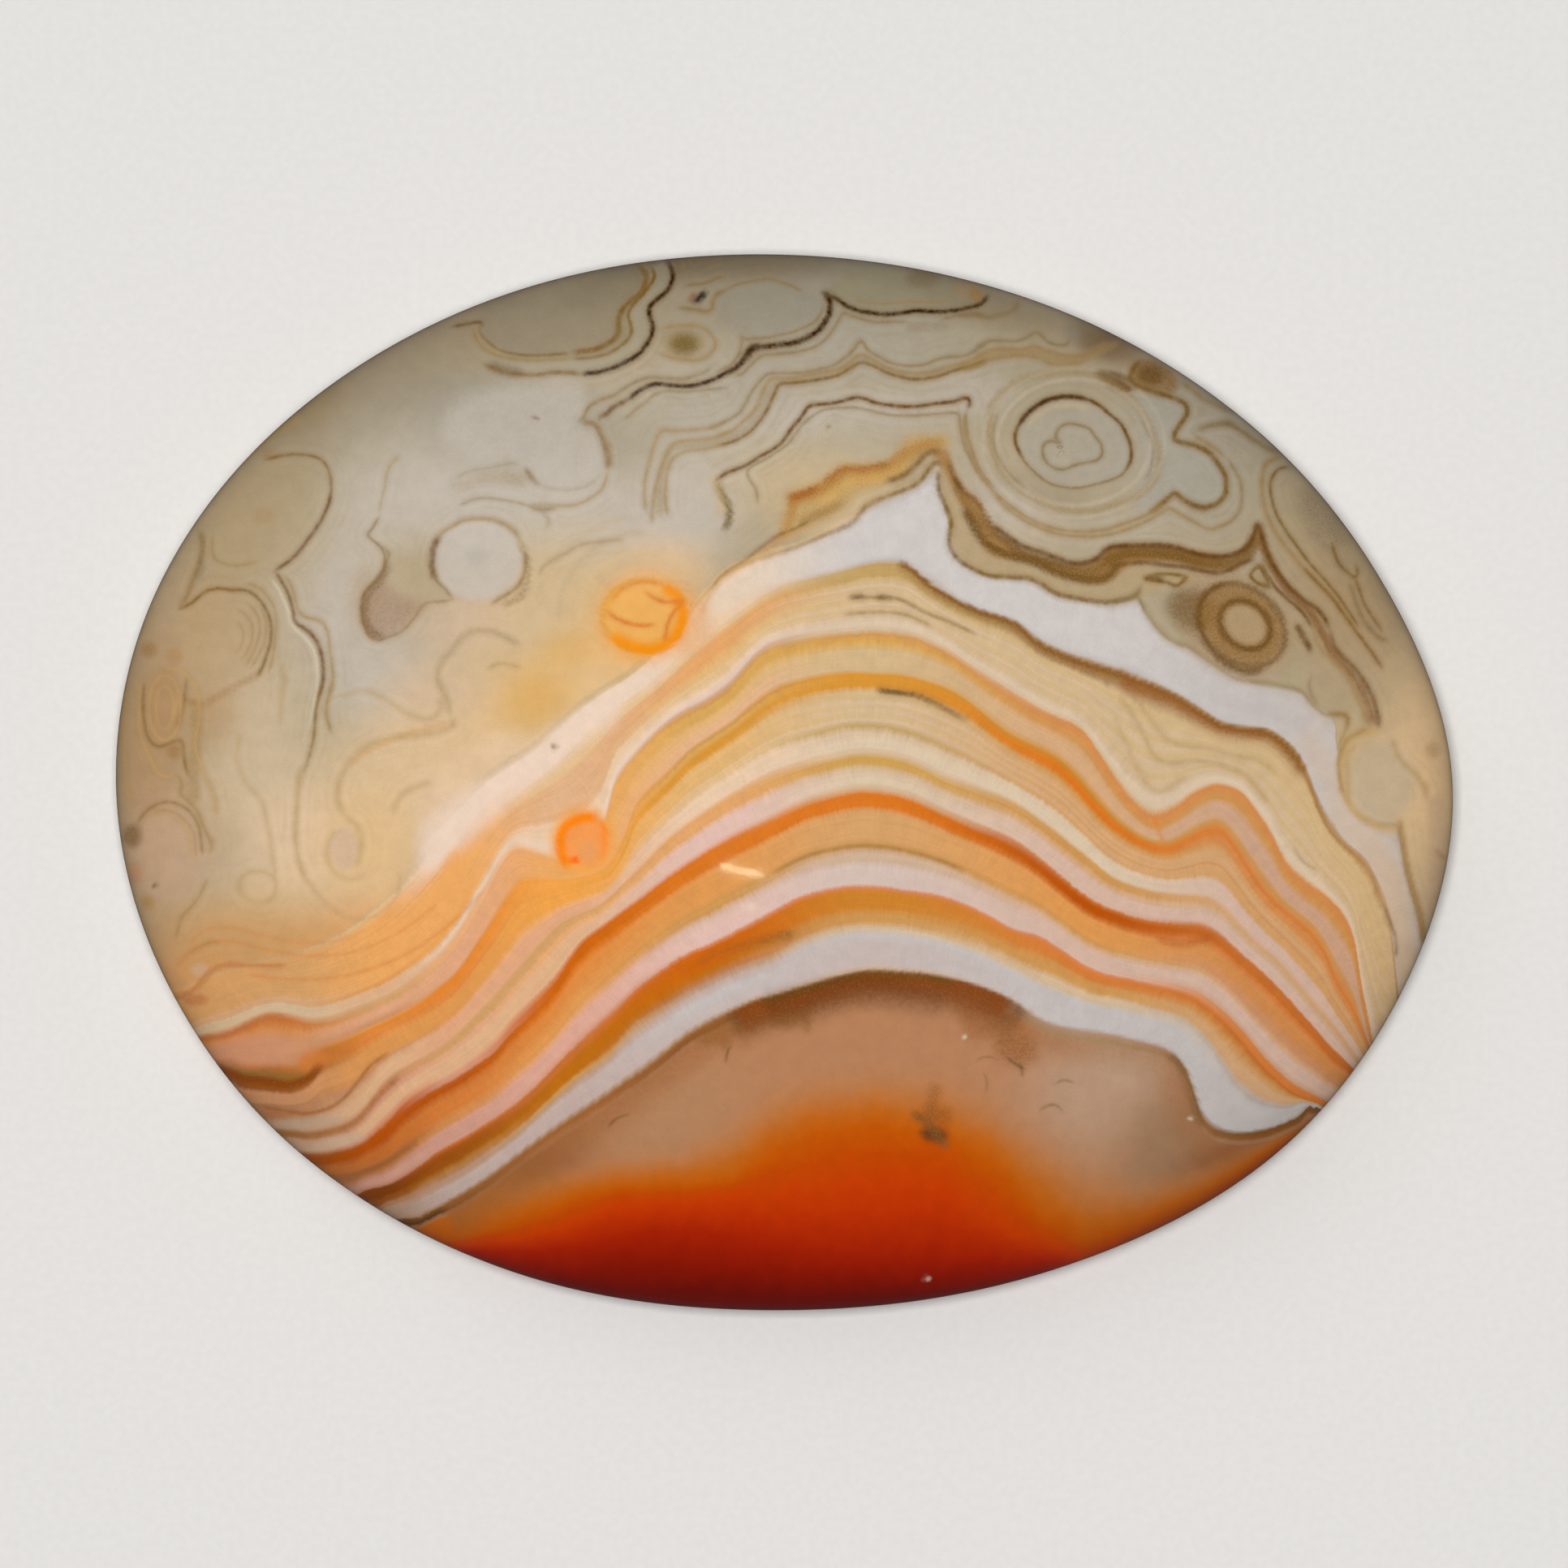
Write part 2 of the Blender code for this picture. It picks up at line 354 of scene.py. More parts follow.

# Filled shapes over the bands: the colour, how softly the edge fades in
# pixels, the strength, how peppery the shape is, and its path
# In the window under the bands: the brown shapes along their lower edge are painted shade, and below them
# lie a dark spot and a pale speck
FILLS = """
# Inside the oval at the upper left edge, and the pale shape under it
drab 14 0.55 0.1: 600,372 650,350 700,338 781,322 795,340 790,360 765,385 762,410 748,424 700,435 640,437
  607,426 592,405 600,372
moss 10 0.6 0: 790,326 805,326 805,345 788,367 776,382 778,410 762,428 725,441 650,443 620,438 640,437
  700,435 748,424 762,410 765,385 790,360 796,340 790,326
putty 10 0.6 0: 806,326 822,322 828,338 820,360 801,380 803,412 780,441 735,459 640,460 600,448 600,434
  650,444 725,441 762,428 778,410 776,382 797,356 806,326
pearl 30 0.6 0: 600,480 700,470 722,500 713,522 738,535 746,560 744,585 722,602 690,604 664,598 650,578
  630,568 590,572 560,560 545,530 560,500 600,480
# The ovals at the top
stone 14 0.5 0: 880,374 894,357 925,347 960,347 992,361 1014,372 1012,385 1003,397 990,404 960,413 930,417
  900,405 880,374
moss 12 0.6 0.1: 1015,361 1030,368 1055,382 1085,387 1115,385 1150,384 1190,380 1213,370 1225,352 1190,335
  1120,325 1050,335 1015,361
sepia 16 0.35 0.3: oval 1137 343 20 12 0
clay 12 0.5 0.1: oval 1190 356 16 9 0
olive 10 0.6 0.2: oval 1203 364 9 9 0
# The small olive eye
stain 18 0.7 0.3: oval 843 424 25 17 0
pickle 16 0.8 0.4: oval 843 424 16 12 0
# The ochre cushion and its golden patch
straw 20 0.9 0.3: 970,606 985,600 1000,595 1015,588 1030,576 1042,571 1060,572 1080,571 1095,566 1106,553
  1115,540 1130,536 1150,536 1166,537 1168,552 1150,558 1137,568 1120,582 1100,592 1080,600 1060,606
  1048,620 1030,634 1005,648 985,656 965,664 962,645 968,625 970,606
wheat 24 0.5 0: 1000,655 1035,636 1056,616 1085,604 1100,600 1070,620 1050,640 1010,660 1000,655
# Brown smoke from the peak to the right, over a paler border
oat 8 0.85 0.1: 1160,575 1175,600 1190,635 1203,660 1215,680 1262,695 1310,716 1345,724 1372,715 1385,700
  1420,698 1470,702 1478,715 1440,722 1410,735 1385,740 1350,741 1315,735 1295,728 1280,718 1262,712
  1225,711 1200,703 1182,688 1171,670 1171,645 1166,622 1160,600 1160,575
brass 10 0.9 0.3: 1150,556 1168,556 1175,578 1184,596 1195,606 1207,616 1214,630 1224,648 1237,662 1252,674
  1270,683 1290,690 1318,697 1335,697 1352,689 1362,678 1378,671 1405,671 1435,671 1460,676 1500,684
  1500,698 1470,697 1440,692 1400,694 1380,705 1365,718 1340,720 1310,712 1290,704 1262,692 1230,687
  1212,676 1203,655 1192,635 1180,615 1168,590 1158,572 1150,556
# The large eye
grey 12 0.5 0: 1300,490 1325,489 1355,500 1380,521 1394,560 1375,589 1330,601 1287,592 1256,557 1252,533
  1266,510 1300,490
sepia 8 0.9 0.4: 1350,457 1372,458 1388,464 1402,472 1392,483 1375,481 1360,472 1350,457
bronze 10 0.75 0.5: oval 1422 466 31 20 30
sepia 12 0.7 0.4: oval 1417 463 16 12 10
stone 10 0.5 0.2: oval 1322 412 9 8 0
grey 16 0.6 0: 1420,482 1450,492 1463,507 1452,526 1447,540 1475,550 1500,570 1511,597 1500,620 1475,624
  1447,607 1428,624 1400,634 1405,600 1412,560 1405,520 1393,490 1420,482
# The brown eye at the right
clay 40 0.6 0.6: oval 1522 768 74 58 40
bistre 24 0.65 0.5: oval 1468 752 32 24 30
bronze 14 0.7 0.5: oval 1530 770 56 43 40
oat 8 0.8 0.1: oval 1534 770 27 21 40
tawny 30 0.7 0.6: oval 1630 640 42 18 50
# The pale eye at the right edge, and its neighbours
ivory 24 0.6 0: oval 1702 965 42 50 0
khaki 12 0.5 0.1: 1613,842 1625,832 1645,835 1662,852 1668,872 1650,882 1630,878 1615,862 1613,842
clay 10 0.5 0.1: oval 1765 925 10 10 0
# The ovals at the left edge
khaki 26 0.45 0.1: 262,662 261,680 275,695 300,697 340,703 372,675 402,628 408,597 401,572 380,561 340,563
  300,585 275,620 262,662
clay 8 0.4 0: oval 326 636 12 10 0
clay 10 0.6 0.2: oval 331 560 9 7 0
oat 34 0.5 0: oval 272 785 56 56 0
clay 12 0.6 0.1: oval 203 868 24 46 0
fawn 14 0.6 0: oval 207 1055 42 56 0
bronze 12 0.5 0.3: oval 183 800 9 9 0
brass 12 0.4 0.2: oval 215 808 10 9 0
bronze 10 0.5 0.3: oval 214 926 9 9 0
sepia 12 0.6 0.3: oval 163 1030 11 14 0
dusk 12 0.5 0.1: oval 166 1076 10 12 0
olive 10 0.5 0.2: oval 182 1112 9 9 0
# The grey-ringed pale eye and the dark-edged patch beside it
pearl 10 0.8 0: oval 588 690 54 49 0
grey 16 0.4 0.1: oval 588 686 14 13 0
khaki 22 0.7 0.1: 474,690 484,684 510,690 530,702 538,720 548,738 522,745 500,738 480,730 464,720 474,690
taupe 22 0.6 0.35: 453,728 446,745 449,772 457,786 470,788 485,783 500,773 515,757 522,745 500,735 480,725
  468,718 453,728
biscuit 8 0.7 0: oval 424 1045 17 26 0
# The pale pink sheet above the left slope of the bands
blush 26 0.8 0: 760,850 720,872 680,900 640,935 600,960 560,985 540,1000 522,1015 516,1040 520,1062 530,1070
  545,1062 575,1040 605,1012 640,982 680,950 720,915 760,885 760,850
tangerine 14 0.6 0: oval 555 1085 13 40 10
# The yellow eye and the red one
mango 30 0.6 0: oval 798 763 60 54 0
apricot 30 0.5 0: oval 850 770 30 36 0
butter 8 0.95 0: oval 792 759 51 45 0
mango 22 0.85 0: oval 718 1036 40 42 0
cantaloupe 10 0.95 0: oval 721 1036 30 32 0
apricot 14 0.5 0: oval 724 1050 12 14 0
# At the left end of the bands
biscuit 8 0.6 0: oval 246 1195 11 8 0
terracotta 8 0.7 0: oval 241 1232 16 7 0
salmon 18 0.5 0: oval 310 1295 54 20 -5
paprika 14 0.8 0.1: oval 386 1307 20 14 -20
fawn 10 0.6 0: oval 380 1383 42 8 -5
biscuit 10 0.6 0: oval 415 1408 38 8 -12
# In the window under the bands
brown 16 0.6 0.3: 866,1268 880,1258 925,1240 955,1231 1000,1222 1000,1250 996,1272 985,1262 970,1268
  958,1264 942,1262 928,1272 905,1276 895,1292 884,1286 860,1286 866,1268
chestnut 26 0.5 0.3: 1180,1235 1215,1235 1240,1245 1262,1262 1260,1275 1225,1280 1195,1280 1185,1262
  1180,1235
chestnut 26 0.6 0.8: oval 1252 1292 26 20 20
umber 14 0.95 0.3: oval 1151 1398 17 9 12
blush 3 0.8 0: oval 1142 1576 3 3 0
"""

# Soft strokes over the bands and fills: the colour, how far it reaches to the
# left and to the right of its path, the strength (or that at the start > that
# at the end), how peppery it is, and its path
STROKES = """
# Smoke in the upper left
soot 10 10 0.5 0.6: 596,448 620,456 650,462
bronze 6 7 0.5 0.4: 746,536 750,552 752,566 750,582
stain 13 13 0.25>0.4 0.5: 550,606 585,592 615,588 655,594
stain 9 9 0.5 0.7: 648,627 668,624 690,627
khaki 8 8 0.6 0: 812,645 814,600 820,572 830,550 850,548 880,545 905,537
chestnut 7 5 0.6 0.2: 848,376 853,367 860,358
jet 7 7 0.95 0.2: 853,376 858,371 863,366 868,361 872,356
tawny 6 6 0.45 0.3: 814,640 812,600 818,572 828,552 850,549 880,544 900,539 918,528 932,513 941,496 949,480
  958,470 980,468 1000,465 1022,460 1042,450 1060,440 1075,446 1092,455 1110,461 1130,463 1150,460 1170,453
  1195,448
# Round the ochre cushion
tawny 8 8 0.5 0.4: 1112,404 1145,402 1178,400
pickle 7 7 0.85 0.6: 880,590 886,600 892,612 898,626 898,640 890,658
straw 10 10 0.4 0.2: 878,580 884,600 889,620 886,642
caramel 8 18 0.95>0.5 0.4: 964,616 985,609 1000,604 1015,597 1030,585 1042,577 1060,578 1085,574 1100,568
  1112,558 1125,552 1140,546 1168,544
caramel 9 10 0.8>0.1 0.3: 980,608 976,628 971,645 962,662 948,676 930,688
bronze 9 9 0.5 0.5: 982,650 995,640 1012,632 1030,624 1042,614
nut 5 9 0.7 0.6: 968,618 976,612 986,609 1000,603 1012,597
nut 4 6 0.45 0.5: 1012,597 1028,584 1042,577 1060,577 1078,574 1098,570
mustard 10 12 0.5 0.2: 1002,622 1024,610 1044,596 1070,590 1100,584 1124,568
bronze 6 6 0.6 0.3: 1084,574 1090,573 1096,572
bistre 13 8 0.3>0.75 0.8: 1172,590 1184,612 1196,630 1212,648 1232,664 1255,678 1280,688 1305,697 1330,704
  1350,704 1364,694 1378,684 1405,681 1435,682 1462,688 1490,693
bistre 8 10 0.85 0.8: 1186,622 1196,640 1205,656 1216,669 1229,678 1246,684 1262,688 1278,693 1292,700
  1306,706 1325,711 1345,714 1360,712 1370,705 1376,694 1390,686
sepia 4 6 0.6 0.5: 1166,562 1173,580 1178,594 1188,606 1202,616 1212,630 1222,648 1235,662 1250,673 1265,681
  1285,688 1300,693 1318,697 1335,694 1350,689 1362,679
# Round the large eye
sand 5 8 0.35 0.1: 1262,530 1272,516 1286,505 1305,498 1325,498 1348,505
stain 7 7 0.55 0.5: 1222,500 1232,487 1245,475 1260,467 1280,462 1310,458 1340,460 1365,470 1380,480
  1395,492 1405,505 1414,520 1421,535 1427,550 1428,565 1427,580 1422,592 1412,603 1398,613 1380,620
  1360,626 1340,630 1320,629 1300,625 1280,617 1262,608 1248,596 1236,583 1228,568 1222,550 1219,535
  1220,515 1222,500
stain 8 8 0.75 0.3: 1174,452 1205,445 1225,436 1260,434 1280,434 1295,440 1320,443 1342,440 1360,430
  1384,420
# The brown band at the right
bronze 12 12 0.8 0.3: 1352,692 1380,684 1400,682 1430,683 1455,687 1480,694 1505,696 1525,690 1540,678
  1550,652
sepia 6 5 0.6 0.5: 1372,680 1400,675 1430,675 1460,681 1490,688 1510,688 1530,680 1544,664
sepia 11 11 0.55 0.8: 1352,692 1380,684 1400,682 1430,683 1455,687 1480,694 1505,696 1525,690 1540,678
  1550,655
brown 9 8 0.9>0.6 0.4: 1549,640 1556,672 1564,692 1576,713 1592,733 1606,747 1618,760 1632,786 1643,806
  1657,821 1670,838 1680,855 1687,872 1694,900
tawny 10 10 0.5 0.5: 1606,646 1640,680 1664,712
straw 7 7 0.7 0.1: 1704,899 1685,902 1672,905 1662,910 1656,920 1652,935 1651,950 1653,965 1656,978 1668,998
tan 9 9 0.6 0: 1658,986 1675,1005 1690,1015 1705,1021 1730,1022
latte 28 28 0.2>0.8 0: along 660 1600 1745
brass 6 6 0.4>0.7 0.2: 1723,1004 1729,1045 1737,1085 1749,1125 1754,1168
fawn 18 18 0.5 0: 1768,975 1772,1050 1768,1142
# At the left edge
straw 9 9 0.4 0.4: 298,568 320,548 345,530 374,512
ochre 4 9 0.5>0.3 0.2: 862,762 868,742 880,722 895,707 915,694 938,679 958,665 978,657 1002,644
drab 8 8 0.6 0.3: 246,680 248,702 241,722
khaki 7 7 0.5 0.2: 338,790 346,820 352,850
stain 12 12 0.6 0.3: 239,858 243,900 240,930 238,960 241,995
bronze 7 7 0.35 0.3: 222,860 250,868 265,860 285,848 305,838 328,824
# The dark edge of the patch, and round the grey-ringed eye
sepia 13 2 0.65 0.9: 476,688 470,706 462,718 452,727 447,740 446,755 449,770 457,783 478,788
stain 6 6 0.7 0.7: 636,660 646,680 650,700 648,718 640,736 614,748
oat 8 8 0.6 0.3: 646,796 628,788 612,780 600,777 582,778 568,787 556,803 543,818 539,835 545,850 552,866
  550,884
ochre 6 6 0.4 0.1: 560,888 530,896 500,905 470,918 446,930 428,948
# Faint rings far round the yellow eye
sand 6 6 0.6 0: 716,770 714,750 719,728 734,705 760,688 790,681 818,684
oat 6 6 0.4 0: 690,770 689,748 695,722 711,696 738,672 772,658 802,656
oat 6 6 0.25 0: 664,758 668,722 684,692 712,664 750,644 790,636
# The rings of the yellow eye and of the red one
amber 5 5 0.75 0: oval 792 759 50 44 0
marigold 7 18 0.95 0: 812,720 828,726 839,738 844,754 842,770 834,786 820,797 802,803 782,800 764,793
  748,780
dijon 8 12 0.4 0: 748,768 747,748 758,729 778,718
blaze 10 10 0.95 0: 708,1068 697,1062 691,1048 691,1030 698,1017 711,1010 724,1007 740,1010
blaze 6 6 0.9>0.2 0: 736,1006 743,1018 745,1034 744,1050 740,1066
flame 9 9 0.95 0: 704,1054 708,1060 709,1066
# Brown smoke under the white band's lower edge
bronze 2 16 0.5 0.7: along 695 1100 1610
brown 3 7 0.95>0.8 0.4: along 694 1104 1610
# The rings of the brown eye at the right
sepia 6 6 0.9 0.4: oval 1534 770 34 27 40
sepia 6 6 0.65 0.5: oval 1530 770 59 45 40
sepia 6 6 0.8 0.4: 1562,824 1536,828 1508,816 1488,795 1477,768 1480,742 1494,726 1514,718
chestnut 2 24 0.7>0.15 0.4: along 695 1376 1614
orange 4 4 0.5 0.1: 1420,1000 1427,1020 1433,1044
brown 10 12 0.1>0.5 0.7: 850,1190 872,1180 900,1170 930,1161 958,1154 985,1148
rust 8 8 0.5 0.4: 1418,1152 1440,1161 1462,1163 1482,1158 1500,1150
# At the left end of the bands
terracotta 5 5 0.7 0.1: 206,1232 235,1222 248,1210 258,1198 268,1192 285,1188 310,1190 358,1190
terracotta 3 7 0.7 0.2: along 780 238 358
sienna 7 8 0.6>0.9 0.4: 262,1312 285,1322 300,1328 320,1330 335,1332 352,1336 365,1334 380,1328 400,1308
# In the window: shade under the bands, smudges, and the rim's orange glow
russet 4 60 0.7>0.35 0.1: along 1197 540 1510
umber 4 56 0.5 0.4: along 1199 890 1270
sienna 3 40 0.85 0.35: along 1199 900 1250
bistre 2 8 0.7 0.3: along 1199 930 1180
jet 20 40 0.17 0.4: 936,1234 966,1229 1000,1222 1030,1216 1062,1214 1100,1219 1135,1226 1170,1236
sepia 3 14 0.5 0.3: along 1199 1436 1492
brown 3 12 0.5 0.2: along 1199 1488 1620
russet 13 13 0.45 0.8: 1154,1328 1150,1350 1147,1370 1149,1392
hazel 20 20 0.4 0.6: 1128,1372 1150,1374 1180,1378
brown 8 8 0.7 0.5: 1118,1368 1140,1382 1156,1400 1172,1420
hazel 20 20 0.35 0: 1380,1540 1440,1510 1500,1476 1560,1438 1620,1394
"""
# A stroke is full up to this share of its reach
STROKE_CORE = 0.2

# The tones of the fine lines: each one's place in the ramp of tones, and colour
TONES = {
    "pale": (0.0, (216, 203, 180)), "grey": (0.2, (138, 118, 86)), "straw": (0.3, (188, 154, 104)),
    "tan": (0.4, (156, 128, 82)), "amber": (0.45, (222, 116, 20)), "rust": (0.5, (166, 98, 52)),
    "olive": (0.6, (124, 92, 38)), "brown": (0.8, (102, 64, 18)), "dark": (1.0, (58, 31, 0)),
}
# The lines share a few layers of fields. In pixels: how far from a line its
# field reaches, where its strength fades away, how far it fades in at an open
# end, and twice its half width that needs no more room.
LINE_LAYERS = 8
LINE_REACH = 22
LINE_NEAR = 10
LINE_FAR = 15
LINE_FADE = 14
LINE_SLIM = 4
# How far from its line the stain and its echoes reach, the share of the stain
# at each distance, how fast a line gives way to a nearer one, and how far below
# the first band the stain still shows
STAIN_REACH = 48
STAIN = (
    (0, 0.70), (4, 0.50), (8, 0.10), (11, 0.04), (15, 0.36), (19, 0.10), (24, 0.26),
    (29, 0.05), (35, 0.16), (41, 0.02), (48, 0.0),
)
STAIN_RIVALRY = 14
STAIN_DEPTH = 8
# What a layer of lines says where none is near: how far off in half widths, how
# strong, and of which tone
NO_LINE = (6.0, 0.0, 0.5)

